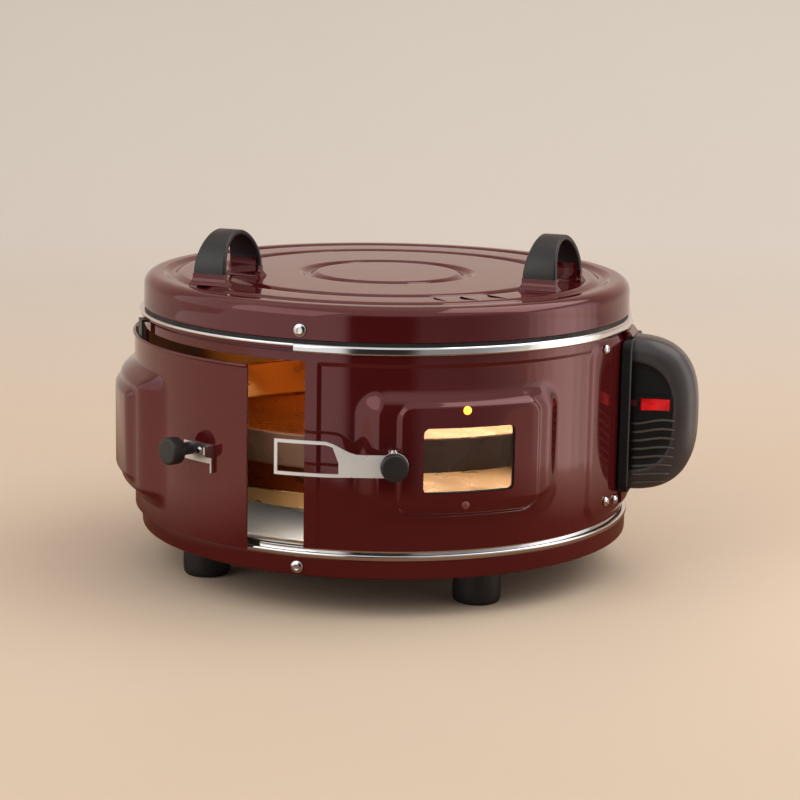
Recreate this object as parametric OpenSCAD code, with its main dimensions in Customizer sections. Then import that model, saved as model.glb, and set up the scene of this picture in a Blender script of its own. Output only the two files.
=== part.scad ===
// Electric drum oven: enamelled drum with a sliding curved door, a hinged lid and a side control box.
// Azimuths are degrees from the front (-Y) towards the control box (+X).

/* [Drum] */
// Outer radius of the drum wall
drum_r = 200; // [170:1:240]
// Thickness of the enamelled sheet
sheet = 1.2; // [0.8:0.1:1.6]
// Height of the base pan
base_h = 15; // [13:0.5:25]
// How far the base pan stands out from the drum wall
base_lip = 2; // [1.6:0.1:2.6]
// Height of the drum wall
wall_h = 150.5; // [145:0.5:200]
// Width of the flange turned in at both edges of the wall
wall_flange = 7; // [5:0.5:10]

/* [Trim rings] */
// Height of each trim ring
trim_h = 7; // [6:0.5:10]
// How far each trim ring stands out from the drum wall
trim_lip = 3.2; // [2.8:0.1:4]
// Height of the door groove in each trim ring
groove_h = 2.5; // [2.2:0.1:3]
// Depth of the door groove, measured inwards from the wall's outside
groove_depth = 2; // [1.6:0.1:3]
// Azimuth where the closed stretch of the upper track starts
cover_az = -20; // [-24:0.5:-18]

/* [Feet] */
// Height of a foot
foot_h = 31; // [20:1:40]
// Radius of a foot at the floor
foot_r = 19; // [14:0.5:24]
// Radius of a foot at its top
foot_top_r = 18.5; // [12:0.5:22]
// Distance of the feet's centres inside the base's edge
foot_inset = 41; // [32:1:60]
// Azimuth of the front right foot
foot_az = 27.4; // [20:0.2:40]

/* [Door] */
// Gap between the wall and the inside of the door
door_gap = 6.5; // [5.5:0.1:8]
// Azimuth of the door's right edge at rest
door_right_az = -30.3; // [-34:0.1:-28]
// Azimuth of the door's left edge at rest
door_left_az = -108; // [-112:0.5:-104]
// How far the door hangs below the wall's bottom edge
door_drop = 5; // [3:0.5:6]
// How far the door stops below the wall's top edge
door_top_gap = 13; // [8:0.5:14]
// Radius of the bead rolled along the door's top edge
door_bead_r = 1.4; // [1:0.1:2]
// How far the pressed pad stands out of the door
pad_rise = 16; // [6:0.1:18]
// Azimuth of the middle of the pad
pad_az = -80; // [-82:0.5:-78]
// Half the angle of the pad's flat crown
pad_half_az = 13; // [8:0.5:15]
// Angle taken by each sloping end of the pad
pad_slope_az = 13; // [8:0.5:14]
// Flat margin of the door below the pad
pad_margin_low = 13; // [9:0.5:14]
// Flat margin of the door above the pad
pad_margin_high = 20; // [10:0.5:24]
// Height taken by each sloping side of the pad
pad_slope_z = 16; // [10:0.5:22]

/* [Door opening] */
// Azimuth of the opening's right edge
opening_right_az = -17.5; // [-20:0.5:-16]
// Azimuth of the opening's left edge
opening_left_az = -75; // [-78:0.5:-60]
// Wall left above the opening
opening_top_band = 6.7; // [6:0.1:12]

/* [Door fittings] */
// Azimuth of the knob
knob_az = -46.3; // [-48:0.1:-46]
// Height of the knob above the wall's bottom edge
knob_up = 66; // [60:0.5:72]
// Radius of the knob
knob_r = 10.7; // [9:0.1:12]
// Thickness of the knob's cap
knob_h = 11.5; // [8:0.5:14]
// Radius of the knob's stem
stem_r = 5; // [4.2:0.1:5.5]
// Length of the knob's stem
stem_h = 12.5; // [9:0.5:14]
// Azimuth of the catch's tongue
tongue_az = -39; // [-39.5:0.1:-38.6]
// Height of the catch's strip
catch_h = 14.4; // [12:0.2:20]
// How far the tongue reaches below the strip
tongue_tail = 7; // [2:0.5:8]
// Thickness of the catch's steel
catch_t = 1.6; // [1.2:0.1:1.8]
// How far the tongue stands out of the door
tongue_reach = 10.5; // [10:0.1:11]
// Height of the part of the tongue that the latch loop takes
tongue_h = 8; // [7:0.5:10]
// Azimuths of the two upper hangers
hanger_az = [-74, -103]; // [-106:0.5:-70]
// Azimuths of the two lower shoes
shoe_az = [-38, -103]; // [-106:0.5:-34]
// Width of a hanger or shoe
hanger_w = 14; // [10:0.5:18]
// Thickness of a hanger or shoe
hanger_t = 1.5; // [1.2:0.1:1.8]

/* [Latch] */
// Height of the latch pin's middle above the wall's bottom edge
latch_up = 69.5; // [66:0.5:72]
// Radius of the latch pin
latch_pin_r = 2; // [1.6:0.1:2.2]
// Height of the pin's axis above the stamped panel
latch_pin_up = 4.3; // [4.2:0.1:4.8]
// Thickness of the latch strap
strap_t = 1.6; // [1.2:0.1:2]
// Azimuth of the loop's free end
loop_end_az = -22.3; // [-23:0.1:-22]
// Height of the loop
loop_h = 27; // [24:0.5:28]
// Width of the loop's rails
loop_rail = 2.4; // [2:0.1:4]
// How far the loop's middle is above the pin's middle
loop_shift = 4.5; // [3:0.5:5]
// Length of the slot in the loop
loop_slot = 47; // [40:0.5:49]
// Width of the strap's neck
neck_w = 17; // [13:0.5:18]
// Radius of the black cap on the strap
cap_r = 10.5; // [9:0.1:11]
// Height of the black cap
cap_h = 7; // [5:0.5:9]
// How far the strap is lifted at rest, in degrees
latch_lift = 3.5; // [3.2:0.1:4]

/* [Window panel] */
// Azimuth of the stamped panel's middle
panel_az = 20; // [19.5:0.1:20.5]
// Width of the stamped panel
panel_w = 192; // [170:1:196]
// Height of the stamped panel
panel_h = 126; // [116:1:130]
// Widths of the two ledges beside the inner steps, outer ledge first
ledge_w = [27.5, 8.5]; // [8:0.5:30]
// Heights of the two ledges above and below the inner steps
ledge_h = [12, 8]; // [6:0.5:14]
// Corner radii of the three stamped steps
step_corner = [22, 16, 12]; // [8:1:26]
// How far each step stands out of the wall
step_rise = [3, 6.5, 9]; // [2:0.5:10]
// Height of the panel's middle above the wall's bottom edge
panel_up = 72.6; // [70:0.1:75]
// Width of the window
window_w = 73; // [60:0.5:80]
// Height of the window
window_h = 50.5; // [40:0.5:54]
// Sideways shift of the window from the panel's middle
window_shift = -6.5; // [-10:0.5:0]
// Cover of the sheet over the glass's edge
window_cover = 5; // [4:0.5:8]
// Thickness of the glass
glass_t = 2.6; // [2:0.1:4]
// Thickness of the window gasket
gasket_t = 0.8; // [0.5:0.1:1]
// Thickness of the glass retainer
retainer_t = 1; // [0.8:0.1:1.2]
// Radius of the two lamps
lamp_r = 3.2; // [2.5:0.1:3.4]
// How far the lamps are above and below the panel's middle
lamp_offset = 36.4; // [35:0.1:37]
// How far a lamp's lens stands out of the sheet
lamp_proud = 1.6; // [1:0.1:3]

/* [Lid] */
// Height of the lid
lid_h = 26.3; // [22:0.1:34]
// Gap between the lid's skirt and the top trim
lid_gap = 2.5; // [2:0.1:4]
// Radius of the lid's top edge
lid_edge_r = 6; // [3:0.5:8]
// Radii of the rings pressed into the lid
lid_rings = [65, 137, 177]; // [50:1:182]
// Width of a pressed ring
ring_w = 8; // [5:0.5:9]
// Depth of a pressed ring
ring_depth = 2; // [1:0.1:3]
// Number of steam slots
slot_count = 4; // [2:1:6]
// Radius of the row of steam slots
slot_row_r = 153; // [148:0.5:160]
// Length of a steam slot
slot_l = 14; // [8:0.5:16]
// Width of a steam slot
slot_w = 2.4; // [1.5:0.1:3]
// Distance from the drum wall to the hinge axis
hinge_out = 13; // [11:0.5:16]
// Radius of the hinge barrel
barrel_r = 5; // [4.2:0.1:6]
// Radius of the hinge pin
hinge_pin_r = 2.5; // [2:0.1:3]
// Length of the hinge
hinge_l = 48; // [40:1:50]

/* [Handles] */
// Distance of the left handle's middle inside the drum's side
left_handle_inset = 73; // [71:0.5:76]
// Distance of the right handle's middle inside the drum's side
right_handle_inset = 68; // [66:0.5:71]
// How far the handles sit in front of the drum axis
handle_front = 64; // [62:0.5:66]
// Turn of both handles from the front-back direction
handle_turn = 22; // [15:0.5:28]
// Outer radius of a grip's arch
grip_r = 35; // [30:0.5:40]
// Thickness of a grip
grip_t = 5; // [4:0.1:7]
// Width of a grip at its legs
grip_w = 28; // [24:0.5:30]
// Width of a grip at its crest
grip_crest_w = 22.5; // [18:0.5:24]
// Height of the bracket under a grip
bracket_h = 9; // [7:0.5:14]
// Spread of the bracket's foot
bracket_foot = 12; // [10:0.5:14]

/* [Control box] */
// Azimuth of the control box
box_az = 77; // [76:0.5:79]
// Width of the control housing
box_w = 44; // [40:0.5:48]
// Height of the control housing
box_h = 126.5; // [120:0.5:132]
// How far the housing stands out from the drum wall
box_out = 60; // [52:0.5:66]
// Roundness of the housing's edge
box_round = 16; // [12:0.5:17]
// Wall of the housing
box_wall = 2.5; // [2:0.1:3]
// Height of the box's middle above the wall's bottom edge
box_up = 81.5; // [80:0.5:86]
// Thickness of the back plate, from the wall to the housing
plate_t = 8; // [7:0.5:9]
// How far the back plate stands out round the housing
plate_lip = 12; // [2:0.5:14]
// Rise of the pressed pad behind the box
box_pad_rise = 2; // [1:0.1:2.4]
// Width of the pressed pad behind the box
box_pad_w = 172; // [150:1:174]
// Margin of the pad behind the box, above and below it
box_pad_margin = 2; // [2:0.5:10]
// Number of ribs on the housing's side
rib_count = 8; // [4:1:9]
// Spacing of the ribs
rib_pitch = 7.2; // [6:0.1:7.4]
// Width of a rib
rib_w = 2.2; // [1.5:0.1:3]
// How far a rib stands out
rib_proud = 0.9; // [0.4:0.1:1.5]
// Width of the red switch
switch_w = 23.4; // [20:0.2:25]
// Height of the red switch
switch_h = 9; // [8:0.2:12]
// Tilt of the switch to each side
switch_tilt = 8; // [5:0.5:10]
// Hole in the cord gland
gland_bore_r = 3.6; // [3:0.1:4]

/* [Inside] */
// Radius of the heater rings
heater_r = 120; // [90:1:140]
// Radius of the heater tube
tube_r = 4; // [3:0.1:5]
// Angle left open between the heater's ends
heater_gap = 8; // [8:0.5:12]
// Height of the lower heater above the floor pan
heater_up = 15; // [12:0.5:16]
// Drop of the lid heater below the lid reflector
lid_heater_drop = 10; // [9:0.5:14]
// Depth of the floor pan
floor_depth = 8; // [6:0.5:9]
// Gap between the trays' rims and the drum wall
tray_gap = 15.8; // [12:0.2:24]
// Spread of a tray's wall
tray_flare = 10; // [6:0.5:12]
// Depth of the lower tray
lower_tray_h = 17; // [12:0.5:22]
// Depth of the upper tray
upper_tray_h = 30; // [26:0.5:44]
// Height of the lower shelf above the wall's bottom edge
lower_shelf_up = 21; // [20:0.5:24]
// Height of the upper shelf above the wall's bottom edge
upper_shelf_up = 53; // [51:0.5:58]
// Azimuth of the first tray support
support_az = -6; // [-8:0.5:2]
// Width of a tray support
support_w = 16; // [12:0.5:20]

/* [Fasteners] */
// Radius of the screws' shanks
shank_r = 2; // [1.6:0.1:2.2]
// Radius of the trim screws' heads
head_r = 5; // [4:0.1:5.5]
// Height of the screws' heads
head_h = 2.4; // [1.8:0.1:2.6]
// Azimuth of the front screws on lid and base
screw_az = -18.8; // [-20:0.1:-18]

/* [Clearances] */
// Gap between a running pin and its hole
pin_clear = 0.05; // [0.03:0.01:0.08]
// Gap round a screw or a seated piece
seat_clear = 0.1; // [0.05:0.05:0.2]
// Gap between sliding pieces
slide_clear = 0.3; // [0.25:0.05:0.4]

/* [Hidden] */
$fn = 180;
burgundy = [0.36, 0.10, 0.11];
steel = [0.80, 0.80, 0.82];
charcoal = [0.10, 0.10, 0.10];
dark_enamel = [0.16, 0.12, 0.10];
brass = [0.76, 0.60, 0.32];
ceramic = [0.90, 0.88, 0.82];
// Levels above the floor
base_z = foot_h;
base_top = base_z + base_h;
wall_z = base_top + trim_h;
wall_top = wall_z + wall_h;
trim_top = wall_top + trim_h;
lid_z = trim_top + lid_gap;
lid_top = lid_z + lid_h;
// Radii of the shells
base_r = drum_r + base_lip;
trim_r = drum_r + trim_lip;
wall_in_r = drum_r - sheet;
flange_in_r = drum_r - wall_flange;
groove_r = drum_r - groove_depth;
// Levels of the two door grooves
low_groove_z = wall_z - groove_h;
high_groove_z = wall_top + groove_h;
cover_end_az = 168;
seal_w = 6;
// Cutting margin
over = 5;
base_corner = 3;
base_floor_top = base_z + sheet;
foot_circle_r = base_r - foot_inset;
foot_azimuths = [foot_az, foot_az + 90, foot_az + 180, foot_az + 270];
foot_screw_depth = 14;
// Door
door_in_r = drum_r + door_gap;
door_r = door_in_r + sheet;
door_z = wall_z - door_drop;
door_top = wall_top - door_top_gap;
pad_z0 = door_z + pad_margin_low;
pad_z1 = door_top - pad_margin_high;
hanger_r = door_in_r - seat_clear;
hanger_lap = pad_margin_high - 1;
knob_z = wall_z + knob_up;
knob_base_r = door_r + 2 * seat_clear;
catch_r = door_r + 2 * seat_clear;
catch_cover = 0.7;
catch_top = knob_z + stem_r + seat_clear + catch_cover;
catch_left = 9;
rivet_az = (knob_az + tongue_az) / 2 - 0.2;
rivet_r = 3;
rivet_h = 1.5;
// Stamped panel
panel_z = wall_z + panel_up;
window_z = panel_z - 0.8;
panel_r = drum_r + step_rise[2];
step_w = [panel_w, panel_w - 2 * ledge_w[0], panel_w - 2 * (ledge_w[0] + ledge_w[1])];
step_h = [panel_h, panel_h - 2 * ledge_h[0], panel_h - 2 * (ledge_h[0] + ledge_h[1])];
panel_in_r = panel_r - sheet;
gasket_r = panel_in_r - seat_clear;
glass_r = gasket_r - gasket_t;
retainer_r = glass_r - glass_t;
lamp_shift = window_shift - 3.7;
lamp_back = 8;
lamp_lift = 1;
lamp_mid_z = panel_z + lamp_lift;
// Latch
latch_z = wall_z + latch_up;
latch_seat_r = drum_r + step_rise[1] + seat_clear;
// Middle of the ledge between the two inner steps
latch_side = (step_w[1] + step_w[2]) / 4;
latch_az = panel_az - asin(latch_side / latch_seat_r);
latch_plate_t = 0.9;
latch_plate_y0 = -ledge_w[1] / 2 + slide_clear;
latch_plate_y1 = ledge_w[1] / 2 + seat_clear;
latch_barrel_r = latch_pin_r + 1;
latch_pin_x = latch_seat_r + latch_pin_up;
strap_r = latch_pin_x + 3.8;
barrel_half = 9.2;
ear_t = 1.5;
ear_r = latch_pin_r + 1;
loop_z = latch_z + loop_shift;
strap_mid_az = (loop_end_az + latch_az) / 2;
strap_half = (strap_r + strap_t) * sin((latch_az - loop_end_az) / 2);
strap_steps = 16;
neck_start = -strap_half + 0.8 * loop_slot;
neck_run = loop_h;
// Lid
reflector_z = lid_z + 3.4;
reflector_rim = 8;
lid_screw_z = lid_z + 7.3;
hinge_y = drum_r + hinge_out;
hinge_z = lid_z;
hinge_half_az = 9;
leaf_t = 2.5;
leaf_h = 37;
web_h = 28;
leaf_root_y = drum_r + leaf_t / 5;
knuckle_l = (hinge_l - 4 * slide_clear) / 3;
lid_heater_z = reflector_z - lid_heater_drop;
rear_az = 180;
slot_az = 16;
slot_step = 6.5;
slot_lean = 35;
// Handles
grip_z = lid_top + bracket_h;
leg_y = grip_r - grip_t / 2;
tang_w = grip_w - 10;
tang_t = 1.6;
tang_h = 6;
liner_w = grip_w - 6;
liner_t = 2.2;
liner_az = 35;
liner_root = 3.5;
bracket_t = 4;
foot_plate_t = 2;
// Control box
box_z = wall_z + box_up;
box_half_h = box_h / 2;
box_pad_h = wall_h - 2 * box_pad_margin;
bracket_r = drum_r + box_pad_rise + seat_clear;
box_bracket_t = 2;
hood_out = 5.5;
hood_w = 32;
plate_back_r = bracket_r + box_bracket_t + seat_clear;
switch_u = 27.7;
switch_up = 10.7;
switch_z = box_z + switch_up;
switch_pivot_y = -box_w / 2 + 1.5;
switch_arc_r = switch_w / 2 + 0.7;
switch_frame = 2;
switch_pin_r = 1.5;
rib_drop = 14.7;
rib_start_z = switch_z - rib_drop;
rib_u0 = plate_t + 1;
rib_u1 = 48;
gland_u = 24;
gland_z = box_z - 30;
gland_r = 7;
// Inside
floor_seat_z = wall_z + sheet;
floor_top = floor_seat_z - floor_depth + 1;
heater_z = floor_top + heater_up;
lower_shelf_z = wall_z + lower_shelf_up;
upper_shelf_z = wall_z + upper_shelf_up;
shelf_t = 2;
tray_t = 1.2;
tray_rim = 5;
tray_r = wall_in_r - tray_gap - tray_rim - tray_flare;
clip_azimuths = [17, 137, 257];
leg_r = tube_r + 1;
terminal_h = 9;
terminal_w = 18;
terminal_l = 40;
terminal_floor = 3;

// Points of an arc
function arc(cx, cy, r, a0, a1, steps = 6) =
    [for (i = [0:steps]) let(a = a0 + (a1 - a0) * i / steps) [cx + r * cos(a), cy + r * sin(a)]];
// Soft start and end between 0 and 1
function ease(t) = t * t * (3 - 2 * t);

// Local x points outwards at the azimuth, y runs round towards larger azimuths
module at(az) {
    rotate([0, 0, az - 90]) children();
}

// Revolved profile between two azimuths
module sector(az0, az1) {
    at(az0) rotate_extrude(angle = az1 - az0) children();
}

// Ring of rectangular section
module ring(r0, r1, z0, z1) {
    rotate_extrude() translate([r0, z0]) square([r1 - r0, z1 - z0]);
}

// Curved plate between two radii, heights and azimuths
module plate(r0, r1, z0, z1, az0, az1) {
    sector(az0, az1) translate([r0, z0]) square([r1 - r0, z1 - z0]);
}

// Rectangle with round corners
module round_rect(w, h, r) {
    square([w - 2 * r, h], center = true);
    square([w, h - 2 * r], center = true);
    for (sx = [-1, 1], sy = [-1, 1]) translate([sx * (w / 2 - r), sy * (h / 2 - r)]) circle(r);
}

// Flat outline pushed outwards along local x
module push(x0, x1) {
    translate([x0, 0, 0]) rotate([90, 0, 90]) linear_extrude(x1 - x0) children();
}

// Outline seen from the side, thickened along local y
module side(y0, y1) {
    translate([0, y1, 0]) rotate([90, 0, 0]) linear_extrude(y1 - y0) children();
}

// Rod along local x
module rod(x0, x1, r) {
    translate([x0, 0, 0]) rotate([0, 90, 0]) cylinder(h = x1 - x0, r = r, $fn = 48);
}

// Screw along local x with its head's seat at x
module screw(x, length, head = head_r) {
    rod(x - length, x, shank_r);
    rod(x, x + head_h, head);
}

// Base
module base_pan() {
    outer = arc(base_r - base_corner, base_z + base_corner, base_corner, -90, 0);
    inner = arc(base_r - base_corner, base_z + base_corner, base_corner - sheet, 0, -90);
    color(burgundy) difference() {
        rotate_extrude() polygon(concat([[0, base_z]], outer, [[base_r, base_top], [base_r - sheet, base_top]],
            inner, [[0, base_floor_top]]));
        for (az = foot_azimuths)
            at(az) translate([foot_circle_r, 0, base_z - over])
                cylinder(h = sheet + 2 * over, r = shank_r + seat_clear);
        base_screw_holes();
    }
}

module base_screw_holes() {
    for (k = [0:2]) at(screw_az + 120 * k) translate([0, 0, base_screw_z()])
        rod(base_r - 3 * over, base_r + over, shank_r + seat_clear);
}

function base_screw_z() = base_z + base_h / 2 - 0.6;

module foot(az) {
    color(charcoal) at(az) translate([foot_circle_r, 0, 0]) difference() {
        union() {
            cylinder(h = foot_h / 8, r = foot_r);
            translate([0, 0, foot_h / 8]) cylinder(h = foot_h * 7 / 8, r1 = foot_r, r2 = foot_top_r);
        }
        translate([0, 0, foot_h - foot_screw_depth - 1])
            cylinder(h = foot_screw_depth + over, r = shank_r + seat_clear);
    }
}

module foot_screws() {
    color(steel) for (az = foot_azimuths) at(az) translate([foot_circle_r, 0, base_floor_top]) {
        translate([0, 0, -foot_screw_depth]) cylinder(h = foot_screw_depth, r = shank_r);
        cylinder(h = head_h, r = head_r);
    }
}

module base_trim() {
    skirt_r = base_r - sheet - slide_clear;
    skirt_z = base_z + base_corner + slide_clear;
    color(steel) difference() {
        rotate_extrude() polygon([
            [flange_in_r, base_top], [skirt_r - sheet, base_top], [skirt_r - sheet, skirt_z], [skirt_r, skirt_z],
            [skirt_r, base_top], [trim_r, base_top], [trim_r, low_groove_z], [groove_r, low_groove_z],
            [groove_r, wall_z], [flange_in_r, wall_z]]);
        base_screw_holes();
    }
}

module base_screws() {
    color(steel) for (k = [0:2]) at(screw_az + 120 * k) translate([0, 0, base_screw_z()]) screw(base_r, 5);
}

// Drum wall
module step_block(k, grow, top_r) {
    at(panel_az) translate([0, 0, panel_z])
        intersection() {
            push(drum_r * 0.7, top_r + over)
                round_rect(step_w[k] + 2 * grow, step_h[k] + 2 * grow, step_corner[k] + grow);
            translate([0, 0, -wall_h]) cylinder(h = 2 * wall_h, r = top_r);
        }
}

module box_pad(grow, top_r) {
    at(box_az) translate([0, 0, wall_z + wall_h / 2])
        intersection() {
            push(drum_r * 0.7, top_r + over)
                round_rect(box_pad_w + 2 * grow, box_pad_h + 2 * grow, step_corner[1] + grow);
            translate([0, 0, -wall_h]) cylinder(h = 2 * wall_h, r = top_r);
        }
}

module drum_wall() {
    color(burgundy) difference() {
        union() {
            translate([0, 0, wall_z]) cylinder(h = wall_h, r = drum_r);
            for (k = [0:2]) step_block(k, 0, drum_r + step_rise[k]);
            box_pad(0, drum_r + box_pad_rise);
        }
        translate([0, 0, wall_z + sheet]) cylinder(h = wall_h - 2 * sheet, r = wall_in_r);
        translate([0, 0, wall_z - over]) cylinder(h = wall_h + 2 * over, r = flange_in_r);
        for (k = [0:2]) step_block(k, -sheet, wall_in_r + step_rise[k]);
        box_pad(-sheet, wall_in_r + box_pad_rise);
        plate(flange_in_r - over, drum_r + over, wall_z - over, wall_top - opening_top_band,
            opening_left_az, opening_right_az);
        at(panel_az) translate([0, window_shift, window_z]) push(drum_r, panel_r + over)
            round_rect(window_w, window_h, 4);
        for (s = [-1, 1]) at(panel_az) translate([0, lamp_shift, lamp_mid_z + s * lamp_offset])
            rod(drum_r, panel_r + over, lamp_r + seat_clear);
        box_screw_rods(shank_r + seat_clear, drum_r - 3 * over, drum_r + over);
    }
}

module top_trim() {
    color(steel) difference() {
        ring(flange_in_r, trim_r, wall_top, trim_top);
        plate(groove_r, trim_r + over, wall_top - over, high_groove_z, cover_end_az, cover_az + 360);
    }
}

module lid_seal() {
    color(charcoal) ring(drum_r - seal_w, drum_r - seal_w / 10, trim_top, lid_z - slide_clear);
}

// Inside of the drum
module heater_ring(z, az, r) {
    sector(az + heater_gap / 2, az + 360 - heater_gap / 2) translate([heater_r, z]) circle(r, $fn = 32);
}

module heater_leg(az, side_sign) {
    at(az + side_sign * heater_gap / 2) translate([heater_r, 0, 0]) children();
}

module floor_pan() {
    color(steel) difference() {
        rotate_extrude() polygon([
            [0, floor_top - 1], [flange_in_r - 12, floor_top - 1], [flange_in_r - 4, floor_seat_z],
            [wall_in_r - slide_clear, floor_seat_z], [wall_in_r - slide_clear, floor_seat_z + 1],
            [flange_in_r - 5, floor_seat_z + 1], [flange_in_r - 13, floor_top], [0, floor_top]]);
        for (s = [-1, 1]) heater_leg(box_az, s) translate([0, 0, floor_top - over])
            cylinder(h = 2 * over, r = leg_r + slide_clear);
    }
}

module lower_heater() {
    leg_z = base_floor_top + terminal_floor + seat_clear;
    color(dark_enamel) {
        heater_ring(heater_z, box_az, tube_r);
        for (s = [-1, 1]) heater_leg(box_az, s) translate([0, 0, leg_z])
            cylinder(h = heater_z + leg_r - leg_z, r = leg_r, $fn = 48);
    }
}

module lower_heater_clips() {
    color(steel) difference() {
        for (az = clip_azimuths) at(az) translate([heater_r - 7, -4, floor_top])
            cube([14, 8, heater_up + 1]);
        heater_ring(heater_z, box_az, tube_r + seat_clear);
    }
}

module base_terminal() {
    color(ceramic) difference() {
        at(box_az) translate([heater_r - terminal_w / 2, -terminal_l / 2, base_floor_top])
            cube([terminal_w, terminal_l, terminal_h]);
        for (s = [-1, 1]) heater_leg(box_az, s) translate([0, 0, base_floor_top + terminal_floor])
            cylinder(h = terminal_h, r = leg_r + seat_clear);
    }
}

module tray_supports() {
    half = asin(support_w / 2 / wall_in_r);
    color(steel) for (k = [0:3]) {
        az = support_az + 90 * k;
        plate(wall_in_r - 2.5, wall_in_r - seat_clear, floor_seat_z + 2, upper_shelf_z + 30, az - half, az + half);
        for (z = [lower_shelf_z, upper_shelf_z])
            plate(tray_r - 10, wall_in_r - 1, z - shelf_t, z, az - half, az + half);
    }
}

module tray(z, h) {
    rotate_extrude() polygon([
        [0, z], [tray_r - 3, z], [tray_r, z + 2], [tray_r + tray_flare, z + h - tray_t],
        [tray_r + tray_flare + tray_rim, z + h - tray_t], [tray_r + tray_flare + tray_rim, z + h],
        [tray_r + tray_flare - tray_t, z + h], [tray_r - tray_t, z + 3], [tray_r - 4, z + tray_t],
        [0, z + tray_t]]);
}

module lower_tray() {
    color(brass) tray(lower_shelf_z, lower_tray_h);
}

module upper_tray() {
    color(dark_enamel) tray(upper_shelf_z, upper_tray_h);
}

// Window and lamps
module pane(w, h, corner, r0, r1) {
    intersection() {
        at(panel_az) translate([0, window_shift, window_z]) push(r0 * 0.8, r1 + over) round_rect(w, h, corner);
        ring(r0, r1, wall_z, wall_top);
    }
}

module window_glass() {
    color([0.8, 0.85, 0.85, 0.4])
        pane(window_w + 2 * window_cover, window_h + 2 * window_cover, 6, retainer_r, glass_r);
}

module window_gasket() {
    color(charcoal) difference() {
        pane(window_w + 2 * window_cover, window_h + 2 * window_cover, 6, glass_r, gasket_r);
        pane(window_w - 1, window_h - 1, 4, glass_r - over, gasket_r + over);
    }
}

module window_retainer() {
    w = step_w[2] - 2 * sheet - 2 * slide_clear;
    color(steel) difference() {
        intersection() {
            at(panel_az) translate([0, 0, window_z]) push(drum_r * 0.8, panel_r)
                square([w, window_h + 2 * window_cover - 2], center = true);
            ring(retainer_r - retainer_t, retainer_r, wall_z, wall_top);
        }
        pane(window_w - 1, window_h - 1, 4, retainer_r - 2 * over, retainer_r + over);
    }
}

module lamp(s) {
    at(panel_az) translate([0, lamp_shift, lamp_mid_z + s * lamp_offset]) {
        rod(panel_in_r - lamp_back, panel_r + lamp_proud / 2, lamp_r);
        translate([panel_r + lamp_proud / 2, 0, 0]) rotate([0, 90, 0])
            cylinder(h = lamp_proud / 2, r1 = lamp_r, r2 = lamp_r * 0.7);
        rod(panel_in_r - lamp_back, panel_in_r - 1, lamp_r + 0.8);
    }
}

module pilot_lamp() {
    color([1, 0.65, 0.1]) lamp(1);
}

module ready_lamp() {
    color([0.45, 0.2, 0.15]) lamp(-1);
}

// Latch
module latch_bracket() {
    ear_out = barrel_half + slide_clear + ear_t;
    color(steel) at(latch_az) translate([0, 0, latch_z]) difference() {
        union() {
            translate([latch_seat_r, latch_plate_y0, -ear_out]) cube([
                latch_plate_t, latch_plate_y1 - latch_plate_y0, 2 * ear_out]);
            for (s = [-1, 1]) translate([0, 0, s * (barrel_half + slide_clear + ear_t / 2) - ear_t / 2])
                linear_extrude(ear_t) {
                    translate([latch_pin_x, 0]) circle(ear_r);
                    polygon([
                        [latch_seat_r, -2.5], [latch_pin_x, -ear_r], [latch_pin_x + ear_r * 0.6, ear_r * 0.8],
                        [latch_seat_r + latch_plate_t, latch_plate_y1], [latch_seat_r, latch_plate_y1]]);
                }
        }
        translate([latch_pin_x, 0, -wall_h / 2]) cylinder(h = wall_h, r = latch_pin_r + pin_clear);
    }
}

module latch_pin() {
    half = barrel_half + slide_clear + ear_t + 1;
    color(steel) at(latch_az) translate([latch_pin_x, 0, latch_z - half]) cylinder(h = 2 * half, r = latch_pin_r);
}

// Height of the strap's edge along its length, above (1) or below (-1)
function strap_edge(x, s) = s * neck_w / 2
    + (loop_shift + s * (loop_h - neck_w) / 2) * (1 - ease(min(1, max(0, (x - neck_start) / neck_run))));

// Points along one edge, moved in by a rail
function strap_line(x0, x1, s, rail) = [for (i = [0:strap_steps]) let(x = x0 + (x1 - x0) * i / strap_steps)
    [x, strap_edge(x, s) - s * rail]];

function backwards(points) = [for (i = [len(points) - 1:-1:0]) points[i]];

// Outline of the strap, flattened in the plane that faces its middle
module strap_outline() {
    slot_x0 = -strap_half + loop_rail;
    slot_x1 = slot_x0 + loop_slot;
    bulge = loop_h / 6;
    difference() {
        union() {
            polygon(concat(
                strap_line(-strap_half, strap_half, 1, 0), backwards(strap_line(-strap_half, strap_half, -1, 0))));
            translate([strap_half, 0]) circle(cap_r);
        }
        polygon(concat(
            strap_line(slot_x0, slot_x1 - bulge, 1, loop_rail), [[slot_x1, loop_shift / 2]],
            backwards(strap_line(slot_x0, slot_x1, -1, loop_rail))));
    }
}

// Turns the latch from its engaged to its lifted place
module lifted() {
    at(latch_az) translate([latch_pin_x, 0, 0]) rotate([0, 0, latch_lift]) translate([-latch_pin_x, 0, 0])
        rotate([0, 0, 90 - latch_az]) children();
}

module latch_strap() {
    color(steel) lifted() {
        difference() {
            union() {
                intersection() {
                    at(strap_mid_az) translate([0, 0, latch_z]) push(strap_r * 0.7, strap_r + 2 * over)
                        strap_outline();
                    ring(strap_r, strap_r + strap_t, wall_z, wall_top);
                }
                at(latch_az) translate([latch_pin_x, 0, latch_z - barrel_half]) {
                    cylinder(h = 2 * barrel_half, r = latch_barrel_r);
                    translate([0, -2.4, 0]) cube([strap_r - latch_pin_x + strap_t / 2, 4.8, 2 * barrel_half]);
                }
            }
            at(latch_az) translate([latch_pin_x, 0, wall_z]) cylinder(h = wall_h, r = latch_pin_r + pin_clear);
        }
    }
}

module latch_cap() {
    edge = 1.5;
    color(charcoal) lifted() at(latch_az) translate([strap_r + strap_t + seat_clear, 0, latch_z])
        rotate([0, 90, 0]) rotate_extrude() polygon(concat(
            [[0, 0], [cap_r, 0]], arc(cap_r - edge, cap_h - edge, edge, 0, 90), [[0, cap_h]]));
}

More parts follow.
